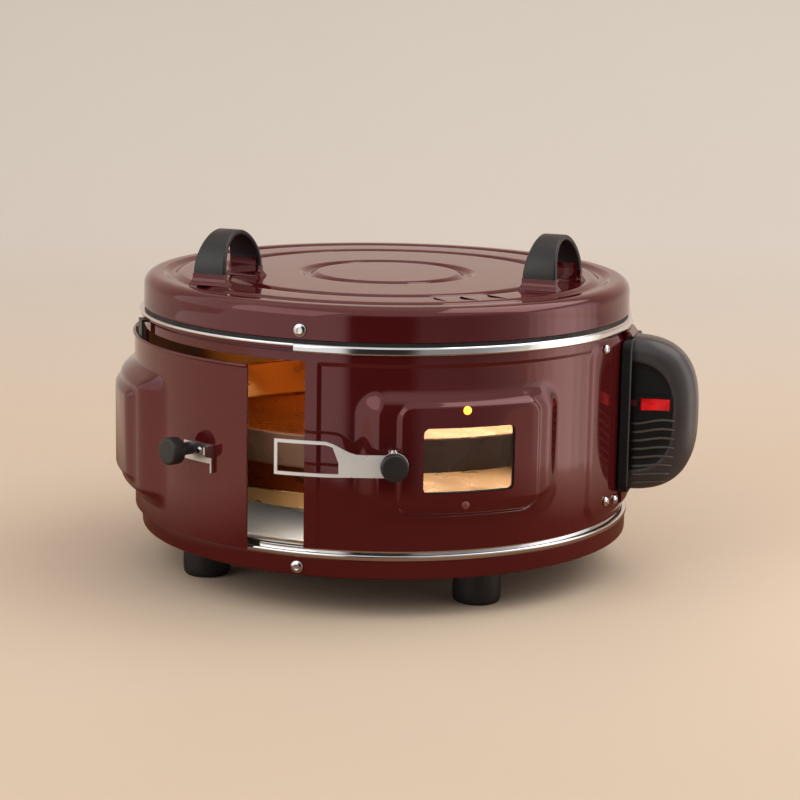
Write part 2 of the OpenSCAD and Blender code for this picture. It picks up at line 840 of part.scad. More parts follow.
// Door
function pad_profile(r) = [
    for (i = [0:8]) [r + pad_rise * ease(i / 8), pad_z0 + pad_slope_z * i / 8],
    for (i = [8:-1:0]) [r + pad_rise * ease(i / 8), pad_z1 - pad_slope_z * i / 8]];

function pad_share(a) = ease(min(1, max(0, (pad_half_az + pad_slope_az - abs(a)) / pad_slope_az)));

module door_pad(r) {
    half = pad_half_az + pad_slope_az;
    steps = 26;
    intersection() {
        sector(pad_az - half, pad_az + half)
            polygon(concat([[r - sheet, pad_z0]], pad_profile(r), [[r - sheet, pad_z1]]));
        at(pad_az) translate([0, 0, pad_z0 - over]) linear_extrude(pad_z1 - pad_z0 + 2 * over) polygon(concat(
            [[0, 0]],
            [for (i = [0:steps]) let(a = half * (2 * i / steps - 1), d = r + (pad_rise + 1) * pad_share(a))
                [d * cos(a), d * sin(a)]]));
    }
}

module door_panel() {
    color(burgundy) difference() {
        union() {
            plate(door_in_r, door_r, door_z, door_top, door_left_az, door_right_az);
            sector(door_left_az, door_right_az) translate([door_in_r + door_bead_r, door_top]) circle(door_bead_r);
            door_pad(door_r);
        }
        door_pad(door_in_r);
        at(knob_az) translate([0, 0, knob_z]) rod(door_in_r - over, door_r + over, shank_r + seat_clear);
        at(rivet_az) translate([0, 0, knob_z]) rod(door_in_r - over, door_r + over, shank_r + seat_clear);
    }
}

module door_knob() {
    edge = 1.8;
    base = knob_base_r;
    color(charcoal) at(knob_az) translate([base, 0, knob_z]) rotate([0, 90, 0]) difference() {
        rotate_extrude() polygon(concat(
            [[0, 0], [stem_r, 0], [stem_r, stem_h], [knob_r - 1, stem_h], [knob_r, stem_h + 1]],
            arc(knob_r - edge, stem_h + knob_h - edge, edge, 0, 90), [[0, stem_h + knob_h]]));
        translate([0, 0, -1]) cylinder(h = 9, r = shank_r + seat_clear);
    }
}

module knob_screw() {
    head = 2;
    color(steel) at(knob_az) translate([0, 0, knob_z]) {
        rod(door_in_r - seat_clear - head, door_in_r - seat_clear, head_r);
        rod(door_in_r - seat_clear, knob_base_r + 7, shank_r);
    }
}

module door_catch() {
    tail_z = catch_top - catch_h - tongue_tail;
    reach_r = door_r + tongue_reach;
    low_r = catch_r + 3;
    color(steel) {
        difference() {
            plate(catch_r, catch_r + catch_t, catch_top - catch_h, catch_top,
                tongue_az - catch_left, tongue_az);
            at(knob_az) translate([0, 0, knob_z]) rod(door_r - over, door_r + 2 * over, stem_r + seat_clear);
            at(rivet_az) translate([0, 0, knob_z]) rod(door_r - over, door_r + 2 * over, shank_r + seat_clear);
        }
        at(tongue_az) side(-catch_t, 0) polygon([
            [catch_r, tail_z], [low_r, tail_z], [low_r, catch_top - tongue_h - 1.5],
            [reach_r - 2, catch_top - tongue_h], [reach_r, catch_top - tongue_h + 2], [reach_r, catch_top],
            [catch_r, catch_top]]);
    }
}

module catch_rivet() {
    color(steel) at(rivet_az) translate([0, 0, knob_z]) {
        rod(door_in_r - 1, catch_r + catch_t + seat_clear, shank_r);
        translate([catch_r + catch_t + seat_clear, 0, 0]) rotate([0, 90, 0])
            cylinder(h = rivet_h, r1 = rivet_r, r2 = rivet_r * 0.6);
    }
}

module door_hangers() {
    half = asin(hanger_w / 2 / hanger_r);
    tongue_z = wall_top + slide_clear;
    tongue_top = high_groove_z - slide_clear;
    color(steel) for (az = hanger_az) {
        plate(hanger_r - hanger_t, hanger_r, door_top - hanger_lap, tongue_top, az - half, az + half);
        plate(groove_r + slide_clear, hanger_r, tongue_z, tongue_top, az - half, az + half);
    }
}

module door_shoes() {
    half = asin(hanger_w / 2 / hanger_r);
    sole_z = low_groove_z + slide_clear;
    sole_top = wall_z - slide_clear;
    color(charcoal) for (az = shoe_az) {
        plate(hanger_r - hanger_t, hanger_r, sole_z, door_z + pad_margin_low, az - half, az + half);
        plate(groove_r + slide_clear, hanger_r, sole_z, sole_top, az - half, az + half);
    }
}

// Lid
module lid_profile() {
    rim = arc(drum_r - lid_edge_r, lid_top - lid_edge_r, lid_edge_r, 0, 90);
    rim_in = arc(drum_r - lid_edge_r, lid_top - lid_edge_r, lid_edge_r - sheet, 90, 0);
    polygon(concat([[0, lid_top - sheet], [0, lid_top]], [for (i = [len(rim) - 1:-1:0]) rim[i]],
        [[drum_r, lid_z], [drum_r - sheet, lid_z]], [for (i = [len(rim_in) - 1:-1:0]) rim_in[i]]));
}

// Section of one pressed ring, a round-bottomed channel
module ring_channel(r, grow) {
    radius = (ring_w * ring_w / 4 + ring_depth * ring_depth) / (2 * ring_depth);
    translate([r, lid_top + radius - ring_depth]) circle(radius + grow);
}

module lid_shell() {
    color(burgundy) difference() {
        union() {
            rotate_extrude() lid_profile();
            for (r = lid_rings) rotate_extrude() intersection() {
                ring_channel(r, sheet);
                translate([r - ring_w, lid_top - 3 * ring_depth]) square([2 * ring_w, 3 * ring_depth]);
            }
        }
        for (r = lid_rings) rotate_extrude() ring_channel(r, 0);
        for (k = [0:slot_count - 1]) at(slot_az + slot_step * k)
            translate([slot_row_r, 0, lid_top - over]) rotate([0, 0, 90 - slot_lean]) linear_extrude(2 * over)
                round_rect(slot_l, slot_w, slot_w / 2 - 0.01);
        for (k = [0:2]) at(screw_az + 120 * k) translate([0, 0, lid_screw_z])
            rod(drum_r - 2 * over, drum_r + over, shank_r + seat_clear);
        each_handle_foot() translate([0, 0, -over]) cylinder(h = 2 * over, r = shank_r + seat_clear);
    }
}

module lid_reflector() {
    rim_r = wall_in_r - slide_clear;
    color(steel) difference() {
        rotate_extrude() polygon([
            [0, reflector_z], [rim_r, reflector_z], [rim_r, reflector_z + reflector_rim],
            [rim_r - 1, reflector_z + reflector_rim], [rim_r - 1, reflector_z + 1], [0, reflector_z + 1]]);
        for (s = [-1, 1]) heater_leg(rear_az, s) translate([0, 0, reflector_z - over])
            cylinder(h = 2 * over, r = leg_r + slide_clear);
        for (k = [0:2]) at(screw_az + 120 * k) translate([0, 0, lid_screw_z])
            rod(rim_r - 2 * over, rim_r + over, shank_r + seat_clear);
    }
}

module lid_screws() {
    color(steel) for (k = [0:2]) at(screw_az + 120 * k) translate([0, 0, lid_screw_z]) screw(drum_r, 5);
}

module lid_heater() {
    color(dark_enamel) {
        heater_ring(lid_heater_z, rear_az, tube_r);
        for (s = [-1, 1]) heater_leg(rear_az, s) translate([0, 0, lid_heater_z - leg_r])
            cylinder(h = lid_heater_drop + terminal_h + leg_r - 1, r = leg_r, $fn = 48);
    }
}

module lid_heater_clips() {
    color(steel) difference() {
        for (az = clip_azimuths) at(az) translate([heater_r - 7, -4, lid_heater_z - 1])
            cube([14, 8, lid_heater_drop + 1]);
        heater_ring(lid_heater_z, rear_az, tube_r + seat_clear);
    }
}

module lid_terminal() {
    color(ceramic) difference() {
        at(rear_az) translate([heater_r - terminal_w / 2, -terminal_l / 2, reflector_z + 1])
            cube([terminal_w, terminal_l, terminal_h]);
        for (s = [-1, 1]) heater_leg(rear_az, s) translate([0, 0, reflector_z])
            cylinder(h = terminal_h + over, r = leg_r + seat_clear);
    }
}

// Rear hinge
module knuckle(x0, length, z0, z1) {
    translate([x0, 0, 0]) rotate([90, 0, 90]) linear_extrude(length) {
        translate([hinge_y, hinge_z]) circle(barrel_r);
        polygon([
            [leaf_root_y, z0], [drum_r + leaf_t + 2, z0], [hinge_y + barrel_r * 0.9, hinge_z],
            [hinge_y - barrel_r * 0.9, hinge_z], [trim_r + slide_clear, z1], [leaf_root_y, z1]]);
    }
}

module leaf_plate(z0, z1) {
    plate(drum_r + seat_clear, drum_r + leaf_t, z0, z1, rear_az - hinge_half_az, rear_az + hinge_half_az);
}

module hinge_bore() {
    translate([-hinge_l, hinge_y, hinge_z]) rotate([0, 90, 0])
        cylinder(h = 2 * hinge_l, r = hinge_pin_r + pin_clear);
}

module hinge_drum_leaf() {
    high = wall_top - 2;
    low = high - web_h;
    color(steel) difference() {
        union() {
            leaf_plate(high + 1 - leaf_h, high + 1);
            for (x = [-hinge_l / 2, hinge_l / 2 - knuckle_l]) knuckle(x, knuckle_l, low, high);
        }
        hinge_bore();
    }
}

module hinge_lid_leaf() {
    low = lid_z + 3;
    high = lid_top - lid_edge_r - 2;
    color(steel) difference() {
        union() {
            leaf_plate(low - 1, high + 1);
            knuckle(-knuckle_l / 2, knuckle_l, high, low);
        }
        hinge_bore();
    }
}

module hinge_pin() {
    half = hinge_l / 2 + 2;
    color(steel) translate([-half, hinge_y, hinge_z]) rotate([0, 90, 0]) cylinder(h = 2 * half, r = hinge_pin_r);
}

// Handles
module handle_place(s) {
    x = s < 0 ? left_handle_inset - drum_r : drum_r - right_handle_inset;
    translate([x, -handle_front, 0]) rotate([0, 0, -handle_turn]) children();
}

module each_handle_foot() {
    for (s = [-1, 1], t = [-1, 1]) handle_place(s) translate([0, t * leg_y, lid_top]) children();
}

// Tongue of a bracket that lies along the inside of the grip's leg
module liner_outline(t) {
    outer = grip_r - grip_t - seat_clear;
    inner = outer - liner_t;
    scale([t, 1]) polygon(concat(
        [[leg_y, -liner_root], [leg_y, 0], [outer, 0]], arc(0, 0, outer, 4, liner_az),
        arc(0, 0, inner, liner_az, 0), [[inner, -liner_root]]));
}

module handle_bracket(s) {
    flare = bracket_foot / 2;
    color(burgundy) handle_place(s) for (t = [-1, 1]) difference() {
        union() {
            translate([0, t * leg_y, lid_top]) rotate([90, 0, 90]) translate([0, 0, -grip_w / 2])
                linear_extrude(grip_w) polygon([
                    [-flare, 0], [flare, 0], [flare, foot_plate_t / 2], [bracket_t / 2, foot_plate_t + 1],
                    [bracket_t / 2, bracket_h], [-bracket_t / 2, bracket_h], [-bracket_t / 2, foot_plate_t + 1],
                    [-flare, foot_plate_t / 2]]);
            translate([-tang_w / 2, t * leg_y - tang_t / 2, grip_z]) cube([tang_w, tang_t, tang_h]);
            translate([0, 0, grip_z]) rotate([90, 0, 90]) translate([0, 0, -liner_w / 2])
                linear_extrude(liner_w) liner_outline(t);
        }
        translate([0, t * leg_y, lid_top - over])
            cylinder(h = over + bracket_h - 2, r = shank_r / 2 + seat_clear);
    }
}

module grip(s) {
    tang_slot_w = tang_w + 2 * slide_clear;
    slot_t = tang_t + 2 * slide_clear;
    color(charcoal) handle_place(s) translate([0, 0, grip_z]) difference() {
        intersection() {
            rotate([90, 0, 90]) translate([0, 0, -grip_w / 2]) linear_extrude(grip_w) difference() {
                circle(grip_r);
                circle(grip_r - grip_t);
                translate([-2 * grip_r, -2 * grip_r]) square([4 * grip_r, 2 * grip_r]);
            }
            side(-2 * grip_r, 2 * grip_r) polygon([
                [-grip_w / 2, 0], [grip_w / 2, 0], [grip_crest_w / 2, grip_r], [-grip_crest_w / 2, grip_r]]);
        }
        for (t = [-1, 1]) translate([-tang_slot_w / 2, t * leg_y - slot_t / 2, -over])
            cube([tang_slot_w, slot_t, over + tang_h + slide_clear]);
    }
}

module handle_screws() {
    color(steel) each_handle_foot() {
        translate([0, 0, -sheet - head_h]) cylinder(h = head_h, r = shank_r + 1);
        translate([0, 0, -sheet - 0.1]) cylinder(h = sheet + bracket_h - 3, r = shank_r / 2);
    }
}

// Control box
module in_box() {
    at(box_az) translate([drum_r, 0, box_z]) children();
}

function swell(v, e) = sign(v) * pow(abs(v), 2 / e);

// Side outline of the housing: a half oval that is straight along the drum
function housing_outline(inset) = [
    for (i = [0:24]) let(a = -90 + 7.5 * i)
        [(box_out - inset) * swell(cos(a), 2.8), (box_half_h - inset) * swell(sin(a), 2.8)]];

module housing_form(grow) {
    hull() for (s = [-1, 1], a = [0, 30, 60, 90]) {
        y = s * (box_w / 2 - box_round + box_round * sin(a) + grow);
        translate([0, y, 0]) rotate([90, 0, 0]) translate([0, 0, -0.005]) linear_extrude(0.01)
            polygon(housing_outline(box_round * (1 - cos(a)) - grow));
    }
}

// One wavy rib on the side that faces the front
module rib(k) {
    steps = 12;
    function wave(t) = 1.4 * sin(300 * t - 60) * t + 0.4;
    z = rib_start_z - box_z - rib_pitch * k;
    points = [for (i = [0:steps]) let(t = i / steps) [rib_u0 + (rib_u1 - rib_u0) * t, z + wave(t)]];
    side(-box_w / 2 - 2 * rib_proud, 0) polygon(concat(
        [for (p = points) [p[0], p[1] - rib_w / 2]],
        [for (i = [steps:-1:0]) [points[i][0], points[i][1] + rib_w / 2]]));
}

module control_housing() {
    color(charcoal) in_box() difference() {
        union() {
            housing_form(0);
            intersection() {
                housing_form(rib_proud);
                for (k = [0:rib_count - 1]) rib(k);
            }
        }
        housing_form(-box_wall);
        translate([plate_t - box_out, -box_w, -box_h]) cube([box_out, 2 * box_w, 2 * box_h]);
        translate([switch_u, -box_w / 2, switch_z - box_z]) cube([
            2 * switch_arc_r + 2 + 2 * seat_clear, 4 * box_wall,
            switch_h + 2 * switch_frame + 2 * seat_clear], center = true);
        translate([gland_u, 0, gland_z - box_z]) rotate([-90, 0, 0]) cylinder(h = box_w, r = gland_r + seat_clear);
    }
}

module control_backplate() {
    w = box_w + 2 * plate_lip;
    h = box_h - 2;
    color(charcoal) difference() {
        in_box() push(-box_out / 3, plate_t) round_rect(w, h, 8);
        translate([0, 0, wall_z - over]) cylinder(h = wall_h + 2 * over, r = plate_back_r);
    }
}

module box_bracket() {
    low = box_z - box_half_h - 9;
    high = wall_top - 1;
    hood_z = box_z + box_half_h + slide_clear;
    color(burgundy) {
        plate(bracket_r, bracket_r + box_bracket_t, low, high, box_az - 6, box_az + 6);
        at(box_az) side(-hood_w / 2, hood_w / 2) polygon([
            [bracket_r + 1, hood_z], [bracket_r + hood_out, hood_z], [bracket_r + box_bracket_t, high],
            [bracket_r + 1, high]]);
    }
}

// Places of the screws round the box, as azimuth and height
function box_screw_places() = [
    [box_az - 18.2, wall_top - 8.8], [box_az - 15.8, wall_z + 17.7], [box_az - 10, wall_z + 15],
    [box_az + 18.2, wall_top - 8.8], [box_az + 15.8, wall_z + 17.7]];

module box_screw_rods(r, x0, x1) {
    for (p = box_screw_places()) at(p[0]) translate([0, 0, p[1]]) rod(x0, x1, r);
}

module box_screws() {
    seat = drum_r + box_pad_rise + seat_clear;
    color(steel) {
        box_screw_rods(shank_r, drum_r - 4, seat);
        box_screw_rods(head_r - 1, seat, seat + head_h);
    }
}

module switch_body() {
    half_h = switch_h / 2 + switch_frame;
    color(charcoal) in_box() translate([switch_u, 0, switch_z - box_z]) difference() {
        union() {
            translate([-switch_arc_r - 1, -box_w / 2, -half_h]) cube([2 * switch_arc_r + 2, 16, 2 * half_h]);
            translate([-switch_arc_r - 2, -box_w / 2 - 1, -half_h - 1])
                cube([2 * switch_arc_r + 4, 1, 2 * half_h + 2]);
        }
        translate([0, switch_pivot_y, -switch_h / 2 - slide_clear])
            cylinder(h = switch_h + 2 * slide_clear, r = switch_arc_r);
        translate([0, switch_pivot_y, -half_h + 0.6])
            cylinder(h = 2 * half_h - 1.2, r = switch_pin_r + pin_clear);
    }
}

module power_switch() {
    arc_r = switch_arc_r - slide_clear;
    half_h = switch_h / 2;
    color([0.85, 0.08, 0.08]) in_box() translate([switch_u, switch_pivot_y, switch_z - box_z])
        rotate([0, 0, switch_tilt]) {
            translate([0, 0, -half_h]) linear_extrude(switch_h) intersection() {
                circle(arc_r);
                polygon([[-arc_r, 1.8], [arc_r, 1.8], [arc_r, -5], [0, -3.6], [-arc_r, -5]]);
            }
            pin_half = half_h + switch_frame - 0.8;
            translate([0, 0, -pin_half]) cylinder(h = 2 * pin_half, r = switch_pin_r);
        }
}

module thermostat() {
    color(ceramic) in_box() translate([0, 0, box_half_h / 2]) {
        rod(plate_t, plate_t + 12, 11);
        rod(plate_t + 12, plate_t + 15, 6);
    }
}

module terminal_block() {
    color(ceramic) in_box() translate([plate_t, -8, -box_half_h / 2 - 10]) cube([12, 16, 24]);
}

module cord_gland() {
    y0 = box_w / 2 - box_wall - 3;
    color(charcoal) in_box() translate([gland_u, 0, gland_z - box_z]) rotate([-90, 0, 0]) difference() {
        union() {
            translate([0, 0, y0]) cylinder(h = box_wall + 15, r = gland_r);
            translate([0, 0, box_w / 2 + seat_clear]) cylinder(h = 2.5, r = gland_r + 2);
            for (k = [0:2]) translate([0, 0, box_w / 2 + 4.5 + 3.2 * k]) cylinder(h = 1.6, r = gland_r + 0.8);
        }
        translate([0, 0, y0 - over]) cylinder(h = box_w, r = gland_bore_r);
    }
}

base_pan();
foot(foot_azimuths[0]);  // foot_front_right
foot(foot_azimuths[1]);  // foot_rear_right
foot(foot_azimuths[2]);  // foot_rear_left
foot(foot_azimuths[3]);  // foot_front_left
foot_screws();
base_trim();
base_screws();
drum_wall();
top_trim();
lid_seal();
floor_pan();
lower_heater();
lower_heater_clips();
base_terminal();
tray_supports();
lower_tray();
upper_tray();
window_glass();
window_gasket();
window_retainer();
pilot_lamp();
ready_lamp();
latch_bracket();
latch_pin();
box_bracket();
box_screws();
control_backplate();
control_housing();
switch_body();
thermostat();
terminal_block();
cord_gland();
hinge_drum_leaf();
hinge_pin();
lid_shell();
lid_reflector();
lid_screws();
lid_heater();
lid_heater_clips();
lid_terminal();
hinge_lid_leaf();
handle_bracket(-1);  // left_handle_bracket
handle_bracket(1);  // right_handle_bracket
grip(-1);  // left_grip
grip(1);  // right_grip
handle_screws();
door_panel();
door_knob();
knob_screw();
door_catch();
catch_rivet();
door_hangers();
door_shoes();
latch_strap();
latch_cap();
power_switch();
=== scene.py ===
"""Looks of the electric drum oven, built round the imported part.

Sizes are in millimetres and angles in degrees; places in the studio are in metres.
"""

import math
from collections import namedtuple

import bmesh
import bpy
import numpy as np
from mathutils import Matrix, Vector


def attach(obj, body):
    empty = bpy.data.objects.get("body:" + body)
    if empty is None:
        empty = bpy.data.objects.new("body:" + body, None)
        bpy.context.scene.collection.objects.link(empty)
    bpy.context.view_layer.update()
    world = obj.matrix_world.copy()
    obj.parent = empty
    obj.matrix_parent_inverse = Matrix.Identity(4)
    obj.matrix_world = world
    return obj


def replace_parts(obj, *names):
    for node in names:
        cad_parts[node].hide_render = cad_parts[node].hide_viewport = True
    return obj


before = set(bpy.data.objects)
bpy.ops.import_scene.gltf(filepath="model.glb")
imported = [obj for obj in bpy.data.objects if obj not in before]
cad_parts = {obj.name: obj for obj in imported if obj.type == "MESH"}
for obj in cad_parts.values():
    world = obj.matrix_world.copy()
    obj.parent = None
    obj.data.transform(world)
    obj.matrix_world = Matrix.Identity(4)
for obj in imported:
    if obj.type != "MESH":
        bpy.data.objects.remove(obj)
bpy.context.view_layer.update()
scene = bpy.context.scene
MM = 0.001
WELD = 1e-6
CREASE = 38
RING_STEPS = 192
PAN_STEPS = 180

# Sizes repeated from the part's source
DRUM_R = 200.0
SHEET = 1.2
BASE_Z = 31.0
BASE_TOP = 46.0
BASE_R = 202.0
WALL_Z = 53.0
WALL_TOP = 203.5
WALL_FLANGE_R = 193.0
TRIM_R = 203.2
GROOVE_R = 198.0
LOW_GROOVE_Z = 50.5
HIGH_GROOVE_Z = 206.0
TRIM_TOP = 210.5
COVER_AZ = (-20.0, 168.0)
LID_Z = 213.0
LID_TOP = 239.3
LID_RINGS = (65.0, 137.0, 177.0)
GRIP_Z = 248.3
GRIP_R = 32.5
PANEL_AZ = 20.0
PANEL_Z = 125.6
PANEL_R = 209.0
WINDOW_Z = 124.8
WINDOW_SHIFT = -6.5
WINDOW_W = 73.0
WINDOW_H = 50.5
LAMP_SHIFT = -10.2
LAMP_Z = PANEL_Z + 1
LAMP_OFFSET = 36.4
BOX_AZ = 77.0
BOX_Z = 134.5
BOX_HALF_W = 22.0
BOX_HALF_H = 63.25
BOX_OUT = 60.0
BOX_ROUND = 16.0
PLATE_T = 8.0
SWITCH_U = 27.7
SWITCH_UP = 10.7
DOOR_IN_R = 206.5
DOOR_R = 207.7
DOOR_Z = 48.0
DOOR_TOP = 190.5
DOOR_LEFT = -108.0
DOOR_RIGHT = -30.3
KNOB_AZ = -46.3
KNOB_Z = 119.0
LATCH_AZ = 1.88
LATCH_Z = 122.5
LATCH_PIN_R = 210.9
STRAP_R = 214.7
STRAP_T = 1.6
LATCH_LIFT = 3.5
FOOT_AZ = 27.4
FOOT_CIRCLE_R = 161.0
SCREW_AZ = -18.8


# Shapes
def place(az, radius=0.0, height=0.0):
    """Frame whose x points outwards at an azimuth, y runs towards larger azimuths and z is up."""
    a = math.radians(az)
    turn = Matrix((
        (math.sin(a), math.cos(a), 0, 0),
        (-math.cos(a), math.sin(a), 0, 0),
        (0, 0, 1, 0),
        (0, 0, 0, 1),
    ))
    return turn @ Matrix.Translation((radius, 0, height))


# Turns a lathe's axis from z to the outward x
FACING_OUT = Matrix(((0, 0, 1, 0), (0, 1, 0, 0), (-1, 0, 0, 0), (0, 0, 0, 1)))


def clean_mesh(name, parts):
    """Mesh of (points, faces, finish index) parts, welded, with no loose points and its normals outwards."""
    mesh = bpy.data.meshes.new(name)
    points = []
    faces = []
    kinds = []
    for part_points, part_faces, kind in parts:
        start = len(points)
        points.extend(part_points)
        faces.extend([[i + start for i in face] for face in part_faces])
        kinds.extend([kind] * len(part_faces))
    mesh.from_pydata([[c * MM for c in p] for p in points], [], faces)
    mesh.polygons.foreach_set("material_index", kinds)
    work = bmesh.new()
    work.from_mesh(mesh)
    bmesh.ops.remove_doubles(work, verts=work.verts, dist=WELD)
    loose = [v for v in work.verts if not v.link_faces]
    bmesh.ops.delete(work, geom=loose, context="VERTS")
    bmesh.ops.recalc_face_normals(work, faces=work.faces)
    work.to_mesh(mesh)
    work.free()
    return mesh


def piece(name, body, finishes, parts, crease=CREASE):
    """One object from (points, faces, finish index) parts, riding on a body."""
    mesh = clean_mesh(name, parts)
    made = bpy.data.objects.new(name, mesh)
    scene.collection.objects.link(made)
    for finish in finishes:
        mesh.materials.append(finish)
    shade(made, crease)
    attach(made, body)
    return made


def shade(made, crease=CREASE):
    made.data.shade_smooth()
    made.data.set_sharp_from_angle(angle=math.radians(crease))


def moved(part, matrix, kind=0):
    """A part's points carried into a frame, with a finish index."""
    points, faces = part
    return [tuple(matrix @ Vector(p)) for p in points], faces, kind


def lathe(profile, steps):
    """A closed profile of (radius, height) points turned once round z."""
    count = len(profile)
    points = []
    for i in range(steps):
        a = 2 * math.pi * i / steps
        points.extend((r * math.cos(a), r * math.sin(a), z) for r, z in profile)
    faces = []
    for i in range(steps):
        k = (i + 1) % steps
        for j in range(count):
            n = (j + 1) % count
            faces.append((i * count + j, k * count + j, k * count + n, i * count + n))
    return points, faces


def arc_sweep(profile, az0, az1, step=1.5):
    """A profile of (radius, height) points turned between two azimuths, with closed ends."""
    count = max(2, round((az1 - az0) / step))
    sections = []
    for i in range(count + 1):
        at = place(az0 + (az1 - az0) * i / count)
        sections.append([tuple(at @ Vector((r, 0, z))) for r, z in profile])
    return sweep(sections)


def soften(corners, radii, steps=5):
    """Closed outline with each corner rounded by its own radius, which takes less than half of an edge."""
    longest = 0.49
    outline = []
    count = len(corners)
    for i, radius in enumerate(radii):
        here = Vector(corners[i])
        if radius <= 0:
            outline.append(tuple(here))
            continue
        back = Vector(corners[i - 1]) - here
        on = Vector(corners[(i + 1) % count]) - here
        reach = min(radius, back.length * longest, on.length * longest)
        first = here + back.normalized() * reach
        last = here + on.normalized() * reach
        for s in range(steps + 1):
            t = s / steps
            outline.append(tuple(first * (1 - t) ** 2 + here * 2 * t * (1 - t) + last * t ** 2))
    return outline


def sweep(sections, closed_ends=True):
    """Skin over a row of outlines that have the same number of points."""
    count = len(sections[0])
    points = [p for section in sections for p in section]
    faces = []
    for i in range(len(sections) - 1):
        for j in range(count):
            n = (j + 1) % count
            faces.append((i * count + j, (i + 1) * count + j, (i + 1) * count + n, i * count + n))
    if closed_ends:
        faces.append(tuple(range(count)))
        last = (len(sections) - 1) * count
        faces.append(tuple(last + j for j in reversed(range(count))))
    return points, faces


def prism(outline, x0, x1):
    """Outline of (y, z) points pushed along x."""
    sections = [[(x, y, z) for y, z in outline] for x in (x0, x1)]
    return sweep(sections)


def circle(radius, count):
    """Points round a circle."""
    turns = np.linspace(0, 2 * math.pi, count, endpoint=False)
    return [(radius * math.cos(a), radius * math.sin(a)) for a in turns]


def rectangle(width, height, corner, steps=6):
    """Outline of a rectangle with round corners, centred."""
    outline = []
    for sx, sy, start in ((1, 1, 0), (-1, 1, 90), (-1, -1, 180), (1, -1, 270)):
        for s in range(steps + 1):
            a = math.radians(start + 90 * s / steps)
            outline.append((sx * (width / 2 - corner) + corner * math.cos(a),
                            sy * (height / 2 - corner) + corner * math.sin(a)))
    return outline


def ease(t):
    """Smooth rise from 0 to 1, level at both ends."""
    t = np.clip(t, 0, 1)
    return t * t * (3 - 2 * t)


def outside_by(u, v, width, height, corner):
    """Distance of a point outside a rectangle with round corners, negative inside it."""
    across = np.abs(u) - (width / 2 - corner)
    up = np.abs(v) - (height / 2 - corner)
    beyond = np.hypot(np.maximum(across, 0), np.maximum(up, 0))
    within = np.minimum(np.maximum(across, up), 0)
    return beyond + within - corner


def sheet_parts(azimuths, heights, radius, thick, keep, wraps):
    """Curved sheet with an outside, an inside and rims, from a grid of radii."""
    a = np.radians(np.asarray(azimuths, float))[:, None]
    z = np.broadcast_to(np.asarray(heights, float), radius.shape)
    rows = radius.shape[1]

    def layer(r):
        return np.stack([r * np.sin(a), -r * np.cos(a), z], axis=-1).reshape(-1, 3).tolist()

    points = layer(radius) + layer(radius - thick)
    shift = radius.size
    columns = len(azimuths) if wraps else len(azimuths) - 1
    outside = []
    inside = []
    rims = []

    def kept(i, j):
        if wraps:
            i %= columns
        return 0 <= i < columns and 0 <= j < rows - 1 and keep[i, j]

    for i in range(columns):
        k = (i + 1) % len(azimuths)
        for j in range(rows - 1):
            if not keep[i, j]:
                continue
            cell = (i * rows + j, k * rows + j, k * rows + j + 1, i * rows + j + 1)
            outside.append(cell)
            inside.append(tuple(c + shift for c in reversed(cell)))
            sides = ((i, j - 1, 0, 1), (i + 1, j, 1, 2), (i, j + 1, 2, 3), (i - 1, j, 3, 0))
            for ni, nj, p, q in sides:
                if not kept(ni, nj):
                    rims.append((cell[q], cell[p], cell[p] + shift, cell[q] + shift))
    return points, outside, inside, rims


def carve(made, cutters):
    """Cuts closed (points, faces, finish index) forms out of a piece."""
    objects = []
    for form in cutters:
        cutter = bpy.data.objects.new("cutter", clean_mesh("cutter", [form]))
        scene.collection.objects.link(cutter)
        objects.append(cutter)
        cut = made.modifiers.new("cut", "BOOLEAN")
        cut.operation = "DIFFERENCE"
        cut.solver = "EXACT"
        cut.object = cutter
    bpy.context.view_layer.update()
    graph = bpy.context.evaluated_depsgraph_get()
    result = bpy.data.meshes.new_from_object(made.evaluated_get(graph))
    made.modifiers.clear()
    made.data = result
    for cutter in objects:
        bpy.data.objects.remove(cutter)
    shade(made)


# Finishes
NOISE_SPAN = (0.3, 0.7)


def new_material(name):
    """A material with its node tree and its principled shader."""
    made = bpy.data.materials.new(name)
    made.use_nodes = True
    return made, made.node_tree, made.node_tree.nodes["Principled BSDF"]


def noise(tree, scale, detail=3.0):
    """Noise in object space."""
    where = tree.nodes.new("ShaderNodeTexCoord")
    node = tree.nodes.new("ShaderNodeTexNoise")
    node.inputs["Scale"].default_value = scale
    node.inputs["Detail"].default_value = detail
    tree.links.new(where.outputs["Object"], node.inputs["Vector"])
    return node.outputs["Fac"]


def ranged(tree, value, source, target=(0, 1)):
    """A value carried from one range to another and held at its ends."""
    node = tree.nodes.new("ShaderNodeMapRange")
    for socket, level in zip(("From Min", "From Max", "To Min", "To Max"), (*source, *target)):
        node.inputs[socket].default_value = level
    tree.links.new(value, node.inputs["Value"])
    return node.outputs["Result"]


def toned(tree, value, tones, ends=(0, 1)):
    """A colour between two tones, by a value."""
    ramp = tree.nodes.new("ShaderNodeValToRGB")
    for stop, end, tone in zip(ramp.color_ramp.elements, ends, tones):
        stop.position = end
        stop.color = (*tone, 1)
    tree.links.new(value, ramp.inputs["Fac"])
    return ramp.outputs["Color"]


